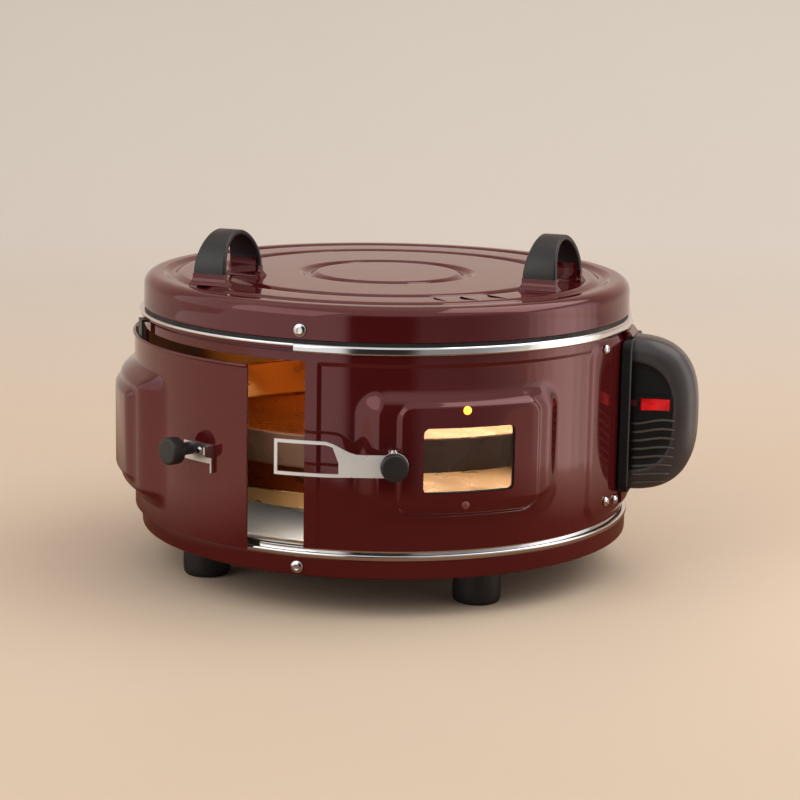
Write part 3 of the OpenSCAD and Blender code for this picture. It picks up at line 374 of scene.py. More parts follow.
def surface(name, tones, tone_scale=25, rough=(0.3, 0.4), rough_scale=90, bump_scale=900, bump_depth=0.01,
            metal=0.0, glow=None, gloss=0.5, gloss_tint=(1, 1, 1)):
    """Principled surface whose colour, roughness and fine relief come from noise in object space."""
    made, tree, shader = new_material(name)
    color = toned(tree, noise(tree, tone_scale), tones, NOISE_SPAN)
    tree.links.new(color, shader.inputs["Base Color"])
    dullness = ranged(tree, noise(tree, rough_scale), NOISE_SPAN, rough)
    tree.links.new(dullness, shader.inputs["Roughness"])
    relief = tree.nodes.new("ShaderNodeBump")
    relief.inputs["Strength"].default_value = 1.0
    relief.inputs["Distance"].default_value = bump_depth * MM
    tree.links.new(noise(tree, bump_scale, detail=2.0), relief.inputs["Height"])
    tree.links.new(relief.outputs["Normal"], shader.inputs["Normal"])
    shader.inputs["Metallic"].default_value = metal
    shader.inputs["Specular IOR Level"].default_value = gloss
    shader.inputs["Specular Tint"].default_value = (*gloss_tint, 1)
    if glow:
        tree.links.new(color, shader.inputs["Emission Color"])
        shader.inputs["Emission Strength"].default_value = glow
    return made


ENAMEL = surface("burgundy_enamel", [(0.070, 0.0060, 0.0066), (0.082, 0.0072, 0.0080)], tone_scale=9,
                 rough=(0.05, 0.09), rough_scale=30, bump_scale=220, bump_depth=0.006,
                 gloss=1.0, gloss_tint=(1.0, 0.55, 0.57))
LINER = surface("oven_liner", [(0.050, 0.040, 0.032), (0.085, 0.068, 0.054)], tone_scale=14,
                rough=(0.30, 0.45), rough_scale=60, bump_scale=500, bump_depth=0.02)
POLISHED = surface("polished_steel", [(0.78, 0.78, 0.79), (0.86, 0.86, 0.87)], tone_scale=20,
                   rough=(0.07, 0.14), rough_scale=80, bump_depth=0.006, metal=1.0)
SATIN = surface("satin_steel", [(0.66, 0.66, 0.66), (0.76, 0.76, 0.76)], tone_scale=30,
                rough=(0.28, 0.42), rough_scale=120, bump_depth=0.012, metal=1.0)
BRUSHED = surface("brushed_steel", [(0.80, 0.80, 0.80), (0.88, 0.88, 0.88)], tone_scale=40,
                  rough=(0.38, 0.46), rough_scale=120, bump_depth=0.006, metal=1.0)
# Painted sheen: pale, half-diffuse steel whose light tone stands in for the latch strap's bright polished
# reflection
PAINTED_SHEEN_STEEL = surface("painted_sheen_steel", [(0.82, 0.82, 0.81), (0.90, 0.90, 0.89)], tone_scale=40,
               rough=(0.26, 0.34), rough_scale=120, bump_depth=0.006, metal=0.3)
DARK_ENAMEL = surface("tray_enamel", [(0.310, 0.170, 0.115), (0.420, 0.250, 0.175)], tone_scale=22,
                      rough=(0.22, 0.36), rough_scale=50, bump_scale=420, bump_depth=0.03)
# Painted light: the trays' amber tone is painted heater glow on plain metal trays
AMBER_LIT_TRAY_METAL = surface("tray_metal", [(0.42, 0.24, 0.085), (0.52, 0.31, 0.12)], tone_scale=18,
                     rough=(0.25, 0.38), rough_scale=60, bump_scale=600, bump_depth=0.02, metal=1.0)
HOT_TUBE = surface("hot_tube", [(1.0, 0.22, 0.03), (1.0, 0.36, 0.07)], tone_scale=30,
                   rough=(0.5, 0.6), rough_scale=60, bump_scale=700, bump_depth=0.02, glow=2.2)
DULL_TUBE = surface("dull_tube", [(0.16, 0.14, 0.12), (0.26, 0.23, 0.20)], tone_scale=60,
                    rough=(0.35, 0.5), bump_depth=0.02, metal=1.0)
CHARCOAL = surface("charcoal_plastic", [(0.017, 0.0145, 0.0148), (0.026, 0.0225, 0.0230)],
                   rough=(0.36, 0.46), rough_scale=70, bump_scale=1600, bump_depth=0.02)
# Satin band round the housing; its tone is lighter than the face partly as painted light falling on the
# rounded edge
BAND_PLASTIC_PAINTED_LIGHT = surface("band_plastic_painted_light", [(0.050, 0.041, 0.042), (0.066, 0.055, 0.057)],
                       rough=(0.27, 0.35), rough_scale=70, bump_scale=1600, bump_depth=0.012)
# Painted highlight: the ribs are lighter than the housing so that their edges read as lit
RIB_PLASTIC_PAINTED_HIGHLIGHT = surface("rib_plastic_painted_highlight", [(0.075, 0.062, 0.055), (0.105, 0.087, 0.078)],
                      rough=(0.26, 0.34), rough_scale=70, bump_scale=1600)
FACE_BLACK = surface("face_plastic", [(0.007, 0.0065, 0.0068), (0.011, 0.0102, 0.0106)],
                     rough=(0.34, 0.42), rough_scale=70, bump_scale=1600, gloss=0.25)
RUBBER = surface("gasket_rubber", [(0.012, 0.012, 0.012), (0.022, 0.021, 0.020)], tone_scale=40,
                 rough=(0.6, 0.75), bump_depth=0.03)
CERAMIC = surface("ceramic", [(0.74, 0.71, 0.64), (0.80, 0.78, 0.72)], tone_scale=40,
                  rough=(0.45, 0.6), bump_scale=700, bump_depth=0.03)
AMBER = surface("amber_lens", [(1.0, 0.42, 0.03), (1.0, 0.56, 0.08)], tone_scale=300,
                rough=(0.15, 0.25), glow=1.7)
DIM_LENS = surface("dim_lens", [(0.17, 0.045, 0.035), (0.22, 0.06, 0.05)], tone_scale=300, rough=(0.2, 0.3))
RED = surface("red_lens", [(0.34, 0.004, 0.006), (0.92, 0.012, 0.014)], tone_scale=70,
              rough=(0.18, 0.28), glow=0.16)
DIM_RED = surface("dim_red", [(0.16, 0.010, 0.016), (0.24, 0.014, 0.022)], tone_scale=160, rough=(0.3, 0.4))


def glass_surface():
    """Clear glass with a faint smear."""
    made, tree, shader = new_material("oven_glass")
    shader.inputs["Transmission Weight"].default_value = 1.0
    shader.inputs["IOR"].default_value = 1.3
    smear = noise(tree, 26, detail=2.0)
    tree.links.new(ranged(tree, smear, (0, 1), (0.01, 0.05)), shader.inputs["Roughness"])
    tint = toned(tree, smear, [(0.90, 0.92, 0.91), (0.97, 0.98, 0.97)])
    tree.links.new(tint, shader.inputs["Base Color"])
    return made


GLASS = glass_surface()


def finish_nodes(finish, *names):
    """Gives CAD nodes a finish."""
    for name in names:
        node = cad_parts[name]
        if not node.material_slots:
            node.data.materials.append(finish)
        for slot in node.material_slots:
            slot.material = finish


# Drum wall with its stamped panel
OPENING_AZ = (-75.0, -17.5)
OPENING_TOP = 196.8
# The wall's grid is fine over the panel and coarse elsewhere
FINE_AZ = (-18.0, 56.0)
FINE_AZ_STEP = 0.35
COARSE_AZ_STEP = 1.2
FINE_Z = (56.0, 203.0)
FINE_Z_STEP = 1.3
COARSE_Z_STEP = 1.0
# A stamped step: its middle along the wall and in height, its size, and the width of its slope
Step = namedtuple("Step", "side middle width height corner rise slope")
PANEL_STEPS = (
    Step(side=-6.5, middle=127.8, width=170, height=108, corner=24, rise=6.5, slope=19),
    Step(side=-4, middle=124.6, width=115, height=89, corner=13, rise=2.5, slope=3.5),
)
PANEL_STEP_R = 205
BOX_PAD = Step(side=0, middle=(WALL_Z + WALL_TOP) / 2, width=172, height=WALL_TOP - WALL_Z - 4, corner=16,
               rise=2.0, slope=7)
BOX_PAD_R = 202
HEM_AZ = -14.0
HEM_RISE = 1.1
HEM_SLOPE = 0.7
SWAGE_H = 9.0
SWAGE_RISE = 1.0
SWAGE_SLOPE = 2
SWAGE_END_AZ = BOX_AZ - 24
WINDOW_CORNER = 5
LAMP_HOLE_R = 3.3


def step_rise(step, step_az, radius, az, z):
    """Rise of one stamped step, whose own frame is at an azimuth."""
    u = radius * np.sin(np.radians(az - step_az))
    facing = np.cos(np.radians(az - step_az)) > 0
    depth = -outside_by(u - step.side, z - step.middle, step.width, step.height, step.corner)
    return np.where(facing, step.rise * ease(depth / step.slope), 0)


def wall_rise(az, z):
    """How far the stamped forms stand out of the wall."""
    panel = sum(step_rise(step, PANEL_AZ, PANEL_STEP_R, az, z) for step in PANEL_STEPS)
    pad = step_rise(BOX_PAD, BOX_AZ, BOX_PAD_R, az, z)
    hem = HEM_RISE * ease((HEM_AZ - az) / HEM_SLOPE) * (az > OPENING_AZ[1] - 0.1)
    along_swage = (az > OPENING_AZ[1]) * (az < SWAGE_END_AZ)
    swage = SWAGE_RISE * ease((z - WALL_TOP + SWAGE_H) / SWAGE_SLOPE) * along_swage
    return np.maximum(np.maximum(panel, pad), np.maximum(hem, swage))


def grid(start, stop, fine_start, fine_stop, fine, coarse, exact):
    """Grid lines that are close together in one stretch and pass through exact values."""
    lines = [*np.arange(start, fine_start, coarse), *np.arange(fine_start, fine_stop, fine),
             *np.arange(fine_stop, stop, coarse), *exact]
    kept = []
    for value in sorted(lines):
        close = kept and value - kept[-1] < fine * 0.4
        if close and value in exact:
            kept[-1] = value
        elif not close:
            kept.append(value)
    return np.array(kept)


def make_drum_wall():
    azimuths = grid(-180, 180, *FINE_AZ, FINE_AZ_STEP, COARSE_AZ_STEP, OPENING_AZ)
    heights = grid(WALL_Z, WALL_TOP, *FINE_Z, FINE_Z_STEP, COARSE_Z_STEP, (WALL_Z, OPENING_TOP, WALL_TOP))
    radius = DRUM_R + wall_rise(azimuths[:, None], heights[None, :])
    middle_az = (azimuths + np.append(azimuths[1:], 180)) / 2
    middle_z = (heights[1:] + heights[:-1]) / 2
    in_opening = (middle_az[:, None] > OPENING_AZ[0]) & (middle_az[:, None] < OPENING_AZ[1])
    keep = ~(in_opening & (middle_z[None, :] < OPENING_TOP))
    points, outside, inside, rims = sheet_parts(azimuths, heights, radius, SHEET, keep, True)
    wall = piece("drum_wall_sheet", "drum", [ENAMEL, LINER],
                 [(points, outside, 0), (points, inside, 1), (points, rims, 0)])
    cut_to = PANEL_R + 8
    window = [(y + WINDOW_SHIFT, z) for y, z in rectangle(WINDOW_W, WINDOW_H, WINDOW_CORNER)]
    cutters = [prism(window, DRUM_R, cut_to)]
    for side in (-1, 1):
        hole = [(y + LAMP_SHIFT, z + side * LAMP_OFFSET + LAMP_Z - WINDOW_Z)
                for y, z in circle(LAMP_HOLE_R, 32)]
        cutters.append(prism(hole, DRUM_R, cut_to))
    window_at = place(PANEL_AZ, 0, WINDOW_Z)
    carve(wall, [moved(cutter, window_at) for cutter in cutters])
    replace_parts(wall, "drum_wall")
    inner_r, flange_z = DRUM_R - SHEET, WALL_TOP - SHEET
    flange = [(WALL_FLANGE_R, flange_z), (inner_r, flange_z), (inner_r, WALL_TOP), (WALL_FLANGE_R, WALL_TOP)]
    top = [(*lathe(flange, PAN_STEPS), 0)]
    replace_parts(piece("drum_wall_flanges", "drum", [ENAMEL], top), "drum_wall")


# Base, trim rings and feet
SKIRT_LOW = 34.3
LIP_H = 2.4


def make_rings():
    base = [(0, BASE_Z), (BASE_R - 5, BASE_Z), (BASE_R, BASE_Z), (BASE_R, BASE_TOP),
            (BASE_R - SHEET, BASE_TOP), (BASE_R - SHEET, BASE_Z + SHEET), (0, BASE_Z + SHEET)]
    pan = [(*lathe(soften(base, [0, 0, 4, 0.5, 0.5, 3, 0]), RING_STEPS), 0)]
    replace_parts(piece("base_pan_sheet", "drum", [ENAMEL], pan), "base_pan")
    skirt = BASE_R - SHEET - 0.3
    low = [(WALL_FLANGE_R, BASE_TOP), (skirt - SHEET, BASE_TOP), (skirt - SHEET, SKIRT_LOW),
           (skirt, SKIRT_LOW), (skirt, BASE_TOP), (TRIM_R, BASE_TOP), (TRIM_R, LOW_GROOVE_Z),
           (GROOVE_R, LOW_GROOVE_Z), (GROOVE_R, WALL_Z), (WALL_FLANGE_R, WALL_Z)]
    ring = [(*lathe(soften(low, [0, 0, 0, 0, 0, 1.6, 1.6, 0, 0.4, 0]), RING_STEPS), 0)]
    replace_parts(piece("base_trim_ring", "drum", [POLISHED], ring), "base_trim")
    lip_z, lip_r, track_r = TRIM_TOP - LIP_H, TRIM_R + 0.3, TRIM_R - 0.4
    strip = [(WALL_FLANGE_R, WALL_TOP), (TRIM_R, WALL_TOP), (TRIM_R, TRIM_TOP), (WALL_FLANGE_R, TRIM_TOP)]
    lip = [(WALL_FLANGE_R, lip_z), (lip_r, lip_z), (lip_r, TRIM_TOP), (WALL_FLANGE_R, TRIM_TOP)]
    track = [(WALL_FLANGE_R, WALL_TOP), (GROOVE_R, WALL_TOP), (GROOVE_R, HIGH_GROOVE_Z),
             (track_r, HIGH_GROOVE_Z), (track_r, lip_z), (WALL_FLANGE_R, lip_z)]
    left_az = (COVER_AZ[1], COVER_AZ[0] + 360)
    parts = [(*arc_sweep(soften(strip, [0, 1.8, 3.2, 0]), *COVER_AZ), 0),
             (*arc_sweep(soften(lip, [0, 0.8, 1.1, 0]), *left_az), 0),
             (*arc_sweep(soften(track, [0, 0, 0, 0.8, 0, 0]), *left_az), 1)]
    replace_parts(piece("top_trim_ring", "drum", [POLISHED, ENAMEL], parts), "top_trim")


def make_feet():
    foot = soften([(0, 0), (18.6, 0), (19.2, 9), (18.5, BASE_Z), (2.2, BASE_Z), (2.2, 16), (0, 16)],
                  [0, 4.5, 4, 1.5, 0, 0, 0])
    for name, turn in (("foot_front_right", 0), ("foot_rear_right", 90), ("foot_rear_left", 180),
                       ("foot_front_left", 270)):
        part = moved(lathe(foot, 64), place(FOOT_AZ + turn, FOOT_CIRCLE_R, 0))
        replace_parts(piece(name + "_pad", "drum", [CHARCOAL], [part]), name)


# Floor pan and trays
FLOOR_Z = 46.2
FLOOR_LIP_H = 8.0
FLOOR_T = 1.0
TRAY_T = 1.2
Tray = namedtuple("Tray", "name z height outside slot")
# The lower tray's outside and both trays' insides carry the painted amber heater light
TRAYS = (
    Tray("lower_tray", 74.0, 17.0, AMBER_LIT_TRAY_METAL, "tray_metal"),
    Tray("upper_tray", 106.0, 30.0, DARK_ENAMEL, "dark_enamel"),
)


def make_inside():
    low, lip = FLOOR_Z, FLOOR_Z + FLOOR_LIP_H
    floor = [(0, low), (181, low), (189, lip), (198.4, lip),
             (198.4, lip + FLOOR_T), (188, lip + FLOOR_T), (180, low + FLOOR_T), (0, low + FLOOR_T)]
    pan = [(*lathe(soften(floor, [0, 4, 3, 0.3, 0.3, 3, 4, 0]), PAN_STEPS), 0)]
    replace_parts(piece("floor_pan_sheet", "drum", [BRUSHED], pan), "floor_pan")
    for tray in TRAYS:
        z, rim = tray.z, tray.z + tray.height
        profile = [(0, z), (166, z), (168, z + 2), (178, rim - TRAY_T), (183, rim - TRAY_T), (183, rim),
                   (176.8, rim), (166.8, z + 3), (164, z + TRAY_T), (0, z + TRAY_T)]
        outline = soften(profile, [0, 3, 3, 0.8, 0.5, 0.5, 1.5, 3, 3, 0])
        points, faces = lathe(outline, PAN_STEPS)
        inner_start = next(i for i, p in enumerate(outline) if p[1] > rim - 0.2 and p[0] < 180)
        inner = [f for f in faces if f[0] % len(outline) >= inner_start]
        outer = [f for f in faces if f[0] % len(outline) < inner_start]
        made = piece(tray.name + "_pan", "drum", [tray.outside, AMBER_LIT_TRAY_METAL],
                     [(points, outer, 0), (points, inner, 1)])
        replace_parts(made, tray.name)


# Window and lamps
PANE_R = (204.2, 206.8)
PANE_MARGIN = 10
PANE_COLUMNS = 24


def make_window():
    half_w, half_h = (WINDOW_W + PANE_MARGIN) / 2, (WINDOW_H + PANE_MARGIN) / 2
    sections = []
    for y in np.linspace(-half_w, half_w, PANE_COLUMNS) + WINDOW_SHIFT:
        back, front = (math.sqrt(r * r - y * y) for r in PANE_R)
        sections.append([(back, y, -half_h), (back, y, half_h), (front, y, half_h), (front, y, -half_h)])
    pane = moved(sweep(sections), place(PANEL_AZ, 0, WINDOW_Z))
    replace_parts(piece("window_pane", "drum", [GLASS], [pane]), "window_glass")


def make_lamps():
    lens = soften([(0, -9), (4, -9), (4, -2.2), (3.2, -2.2), (3.2, 1.0), (0, 2.0)], [0, 0, 0, 0, 1.4, 0])
    lamps = (("pilot_lens", 1, AMBER, "amber_lens", "pilot_lamp"),
             ("ready_lens", -1, DIM_LENS, "dark_lens", "ready_lamp"))
    for name, side, finish, slot, node in lamps:
        where = place(PANEL_AZ, PANEL_R, LAMP_Z + side * LAMP_OFFSET) @ Matrix.Translation((0, LAMP_SHIFT, 0))
        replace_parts(piece(name, "drum", [finish], [moved(lathe(lens, 40), where @ FACING_OUT)]), node)


# Screws
SCREW_H = 2.4
ROUND_SCREW_R = 5
BOX_SCREW_R = 4
BOX_SCREW_SEAT = 202.1


def screw_form(head):
    """Pan head with a round socket, along z, seated at 0."""
    socket = head * 0.42
    profile = [(0, -4), (2, -4), (2, 0), (head, 0), (head, SCREW_H * 0.55), (socket + 0.5, SCREW_H),
               (socket, SCREW_H), (socket * 0.9, SCREW_H * 0.35), (0, SCREW_H * 0.3)]
    return lathe(soften(profile, [0, 0, 0, 0.3, head * 0.35, 0.2, 0.15, 0.1, 0]), 40)


def make_screws():
    rows = (("lid_screw_heads", "lid", "lid_screws", 220.3, DRUM_R),
            ("base_screw_heads", "drum", "base_screws", 37.9, BASE_R))
    for name, body, node, z, r in rows:
        parts = [moved(screw_form(ROUND_SCREW_R), place(SCREW_AZ + 120 * k, r, z) @ FACING_OUT)
                 for k in range(3)]
        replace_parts(piece(name, body, [POLISHED], parts), node)
    high, low = WALL_TOP - 8.8, WALL_Z + 17.7
    spots = ((-18.2, high), (-15.8, low), (-10, WALL_Z + 15), (18.2, high), (15.8, low))
    parts = [moved(screw_form(BOX_SCREW_R), place(BOX_AZ + az, BOX_SCREW_SEAT, z) @ FACING_OUT)
             for az, z in spots]
    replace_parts(piece("box_screw_heads", "drum", [POLISHED], parts), "box_screws")


# Lid
RING_FLAT = 1.0
RING_HALF_W = 8.0
RING_DEEP = 3.0
RING_FACET = 0.5
PLAIN_FACET = 5
LID_ROUND = 9.5
LID_ROUND_STEPS = 10
# Start, end and width of the curved vents pressed through the lid
VENTS = (((36, -141), (46, -160), 4.0), ((57, -134), (70, -153), 7.0), ((78, -122), (93, -141), 7.0))
VENT_TIP = 0.25
VENT_BOW = 0.55


def lid_height(r):
    """Height of the lid's top at a radius, with its pressed rings."""
    z = LID_TOP
    for ring in LID_RINGS:
        off = (abs(r - ring) - RING_FLAT) / (RING_HALF_W - RING_FLAT)
        z -= RING_DEEP * (1 - float(ease(off)))
    return z


def vent_outline(start, stop, wide, steps=14):
    """Outline of one bowed vent that is pointed at both ends."""
    along = Vector(stop) - Vector(start)
    across = Vector((-along.y, along.x)).normalized()
    outline = []
    for side in (1, -1):
        for s in range(steps + 1):
            t = s / steps if side > 0 else 1 - s / steps
            bow = VENT_BOW * wide * math.sin(math.pi * t)
            half = side * (VENT_TIP + wide / 2 * math.sin(math.pi * t))
            outline.append(tuple(Vector(start) + along * t + across * (half - bow)))
    return outline


def make_lid():
    rim = DRUM_R - LID_ROUND
    plain = [r for r in np.arange(0, rim, PLAIN_FACET)
             if all(abs(r - ring) > RING_HALF_W + 1 for ring in LID_RINGS)]
    pressed = [ring + off for ring in LID_RINGS
               for off in np.arange(-RING_HALF_W, RING_HALF_W + RING_FACET, RING_FACET)]
    top = [(float(r), lid_height(r)) for r in sorted(plain + pressed)]
    edge = []
    for s in range(LID_ROUND_STEPS + 1):
        a = math.radians(90 - 90 * s / LID_ROUND_STEPS)
        edge.append((rim + LID_ROUND * math.cos(a), LID_TOP - LID_ROUND + LID_ROUND * math.sin(a)))
    hem = [(DRUM_R, LID_Z + 2.6), (DRUM_R + 0.35, LID_Z + 1.6), (DRUM_R + 0.2, LID_Z + 0.4),
           (DRUM_R - 0.6, LID_Z), (DRUM_R - 1.6, LID_Z + 0.4), (DRUM_R - 1.6, LID_Z + 2.6),
           (DRUM_R - SHEET, LID_Z + 3.2)]
    inner_edge = [(r - SHEET, z - SHEET) for r, z in reversed(edge)]
    under = [(r, z - SHEET) for r, z in reversed(top)]
    profile = top + edge + hem + inner_edge + under
    lid = piece("lid_sheet", "lid", [ENAMEL], [(*lathe(profile, RING_STEPS), 0)])
    cut_z = (LID_TOP - 6, LID_TOP + 6)
    cutters = []
    for vent in VENTS:
        outline = vent_outline(*vent)
        cutters.append((*sweep([[(x, y, z) for x, y in outline] for z in cut_z]), 0))
    carve(lid, cutters)
    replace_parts(lid, "lid_shell")


# Grips and their brackets
GRIP_LOW = 0.91
GRIP_STEPS = 40
FOOT_STEPS = 8
FOOT_HALF_L = 14
LINER_R = (27.7, 29.9)
LINER_HALF_W = 11
LINER_TURN = 13
LINER_DROP = 8


def handle_place(side):
    x = -127 if side < 0 else 132
    return Matrix.Translation((x, -64, 0)) @ Matrix.Rotation(math.radians(-22), 4, "Z")


def grip_form():
    """Flat arch that is widest at its feet."""
    section = rectangle(25.5, 5, 2.2, 5)
    sections = []
    for s in range(GRIP_STEPS + 1):
        a = math.pi * s / GRIP_STEPS
        swell = 1.1 - 0.34 * math.sin(a) ** 1.5
        sections.append([(w * swell, (GRIP_R + t) * math.cos(a),
                          GRIP_Z + GRIP_LOW * (GRIP_R + t) * math.sin(a)) for w, t in section])
    return sweep(sections)


def bracket_foot(end):
    """Flared foot under one end of a grip."""
    profile = [(-6, 0), (6, 0), (6, 1.0), (2.6, 3.6), (2.3, 9), (-2.3, 9), (-2.6, 3.6), (-6, 1.0)]
    outline = soften(profile, [0.2, 0.2, 0.5, 4, 0.4, 0.4, 4, 0.5])
    sections = []
    for s in range(FOOT_STEPS + 1):
        x = -FOOT_HALF_L + 2 * FOOT_HALF_L * s / FOOT_STEPS
        sections.append([(x * (1.14 - 0.14 * min(1, z / 5)), y + end * GRIP_R, LID_TOP + z)
                         for y, z in outline])
    return sweep(sections)


def bracket_liner(end):
    """Strip that runs from the foot up the inside of the grip."""
    inner, outer = LINER_R
    corners = ((-LINER_HALF_W, inner), (LINER_HALF_W, inner), (LINER_HALF_W, outer), (-LINER_HALF_W, outer))
    sections = []
    for s in range(FOOT_STEPS + 1):
        a = math.radians(LINER_TURN * s / FOOT_STEPS)
        drop = LINER_DROP if s == 0 else 0
        sections.append([(x, end * r * math.cos(a), GRIP_Z + r * math.sin(a) - drop) for x, r in corners])
    return sweep(sections)


def make_handles():
    for side, name in ((-1, "left"), (1, "right")):
        where = handle_place(side)
        grip = moved(grip_form(), where)
        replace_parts(piece(name + "_grip_arch", "lid", [CHARCOAL], [grip]), name + "_grip")
        feet = [moved(form(end), where) for end in (-1, 1) for form in (bracket_foot, bracket_liner)]
        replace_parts(piece(name + "_bracket_feet", "lid", [ENAMEL], feet), name + "_handle_bracket")


# Door
PAD_AZ = -80.0
# The pressed pad's two steps: half width and flank in azimuth, height range, flank and rise
Pad = namedtuple("Pad", "half_az flank_az low high flank rise")
PADS = (
    Pad(half_az=25, flank_az=9, low=61.0, high=170.5, flank=14, rise=11.5),
    Pad(half_az=16, flank_az=5, low=76.0, high=155.5, flank=8, rise=4.5),
)
DOOR_COLUMNS = 200
DOOR_ROWS = 140
BEAD_R = 1.4
DOOR_HEM_R = 0.85


def door_rise(az, z):
    """How far the pressed pad stands out of the door."""
    beside = np.abs(az - PAD_AZ)
    rise = 0
    for pad in PADS:
        across = ease((pad.half_az - beside) / pad.flank_az)
        up = ease((z - pad.low) / pad.flank) * ease((pad.high - z) / pad.flank)
        rise = rise + pad.rise * across * up
    return rise


def make_door():
    azimuths = np.linspace(DOOR_LEFT, DOOR_RIGHT, DOOR_COLUMNS)
    heights = np.linspace(DOOR_Z, DOOR_TOP, DOOR_ROWS)
    radius = DOOR_R + door_rise(azimuths[:, None], heights[None, :])
    keep = np.ones((len(azimuths), len(heights)), bool)
    points, outside, inside, rims = sheet_parts(azimuths, heights, radius, SHEET, keep, False)
    bead = []
    for az in azimuths:
        at = place(az, DOOR_IN_R + BEAD_R, DOOR_TOP)
        bead.append([tuple(at @ Vector((x, 0, z))) for x, z in circle(BEAD_R, 16)])
    hem = []
    for z in heights:
        at = place(DOOR_RIGHT, DOOR_IN_R + 0.75, z)
        hem.append([tuple(at @ Vector((x, y, 0))) for x, y in circle(DOOR_HEM_R, 12)])
    parts = [(points, outside, 0), (points, inside, 1), (points, rims, 0),
             (*sweep(bead), 0), (*sweep(hem), 0)]
    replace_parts(piece("door_sheet", "door", [ENAMEL, LINER], parts), "door_panel")


# Knob of the door and button of the latch
KNOB_STEPS = 72


def make_knobs():
    knob = soften([(0, 0), (5, 0), (5, 12.5), (9.7, 12.5), (10.7, 14), (10.7, 24), (0, 24)],
                  [0, 0.4, 1.2, 0.8, 0.8, 2.6, 0])
    part = moved(lathe(knob, KNOB_STEPS), place(KNOB_AZ, DOOR_R + 0.2, KNOB_Z) @ FACING_OUT)
    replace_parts(piece("door_knob_cap", "door", [CHARCOAL], [part]), "door_knob")
    cap = soften([(0, 0), (10.5, 0), (10.5, 7), (0, 7)], [0, 0.4, 2.0, 0])
    lifted = lift() @ place(LATCH_AZ, STRAP_R + STRAP_T + 0.1, LATCH_Z) @ FACING_OUT
    button = moved(lathe(cap, KNOB_STEPS), lifted)
    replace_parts(piece("latch_button", "latch", [CHARCOAL], [button]), "latch_cap")


def lift():
    """Turn of the latch from its engaged place to its rest place."""
    pin = place(LATCH_AZ, LATCH_PIN_R, 0).translation
    turn = Matrix.Rotation(math.radians(LATCH_LIFT), 4, "Z")
    return Matrix.Translation(pin) @ turn @ Matrix.Translation(-pin)


# Control box
BOX_AT = place(BOX_AZ, DRUM_R, BOX_Z)
# Power of the curve that rounds the housing's outline
BOX_POWER = 2.8
BOX_ROUND_STEPS = 8
# How far each row of the housing's side shrinks towards its middle; all but the first are recessed in front
FACE_SHRINK = (0.03, 0.055, 0.2, 0.45, 0.7, 0.95)
FACE_RECESS = 0.6


def housing_outline(inset, y, count=56):
    """One outline of the housing at an inset from its largest size, from the drum out and back."""
    limit = math.acos((PLATE_T / (BOX_OUT - inset)) ** (BOX_POWER / 2))
    outline = []
    for s in range(count + 1):
        a = -limit + 2 * limit * s / count
        x = (BOX_OUT - inset) * abs(math.cos(a)) ** (2 / BOX_POWER)
        z = (BOX_HALF_H - inset) * math.copysign(abs(math.sin(a)) ** (2 / BOX_POWER), a)
        outline.append((x, y, z))
    return outline


def housing_half(side):
    """Outlines of one half of the housing, from its middle plane to the middle of its side."""
    rows = []
    for s in range(BOX_ROUND_STEPS + 1):
        b = math.radians(90 * s / BOX_ROUND_STEPS)
        y = side * (BOX_HALF_W - BOX_ROUND + BOX_ROUND * math.sin(b))
        rows.append(housing_outline(BOX_ROUND * (1 - math.cos(b)), y))
    last = rows[-1]
    centre = Vector((PLATE_T, side * BOX_HALF_W, 0))
    for t in FACE_SHRINK:
        recessed = side < 0 and t > FACE_SHRINK[0]
        deep = Vector((0, side * FACE_RECESS if recessed else 0, 0))
        rows.append([tuple(Vector(p).lerp(centre, t) - deep) for p in last])
    return rows


def make_housing():
    sections = [*reversed(housing_half(-1)), *housing_half(1)]
    points, faces = sweep(sections, closed_ends=False)
    count = len(sections[0])
    rows = len(sections)
    faces = [f for f in faces if {f[0] % count, f[3] % count} != {0, count - 1}]
    rim = [i * count for i in range(rows)] + [i * count + count - 1 for i in reversed(range(rows))]
    faces.append(tuple(rim))
    faces.append(tuple(range(count)))
    faces.append(tuple((rows - 1) * count + j for j in reversed(range(count))))
    face_points = count * (len(FACE_SHRINK) - 1)
    on_face = [f for f in faces if max(f) < face_points]
    band = [f for f in faces if max(f) >= face_points]
    parts = [moved((points, band), BOX_AT), moved((points, on_face), BOX_AT, 1)]
    # The band takes a lighter tone that is partly painted light
    shell = piece("control_shell", "drum", [BAND_PLASTIC_PAINTED_LIGHT, FACE_BLACK], parts, crease=50)
    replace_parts(shell, "control_housing")


def housing_side(x, z):
    """How far the housing's front side stands from its middle plane at a place on it."""
    low, high = 0.0, BOX_ROUND
    for _ in range(24):
        inset = (low + high) / 2
        inside = (x / (BOX_OUT - inset)) ** BOX_POWER + (abs(z) / (BOX_HALF_H - inset)) ** BOX_POWER < 1
        low, high = (inset, high) if inside else (low, inset)
    turn = math.acos(1 - low / BOX_ROUND)
    return BOX_HALF_W - BOX_ROUND + BOX_ROUND * math.sin(turn)


# Wavy ribs on the housing's front side
RIB_COUNT = 8
RIB_PITCH = 7.2
RIB_DROP = 14.7
RIB_START = 9
RIB_REACH = 45.5
RIB_STEPS = 28
RIB_WAVE = 118
RIB_SINK = 0.7
RIB_OUT = 1.9
RIB_HALF_H = 1.15


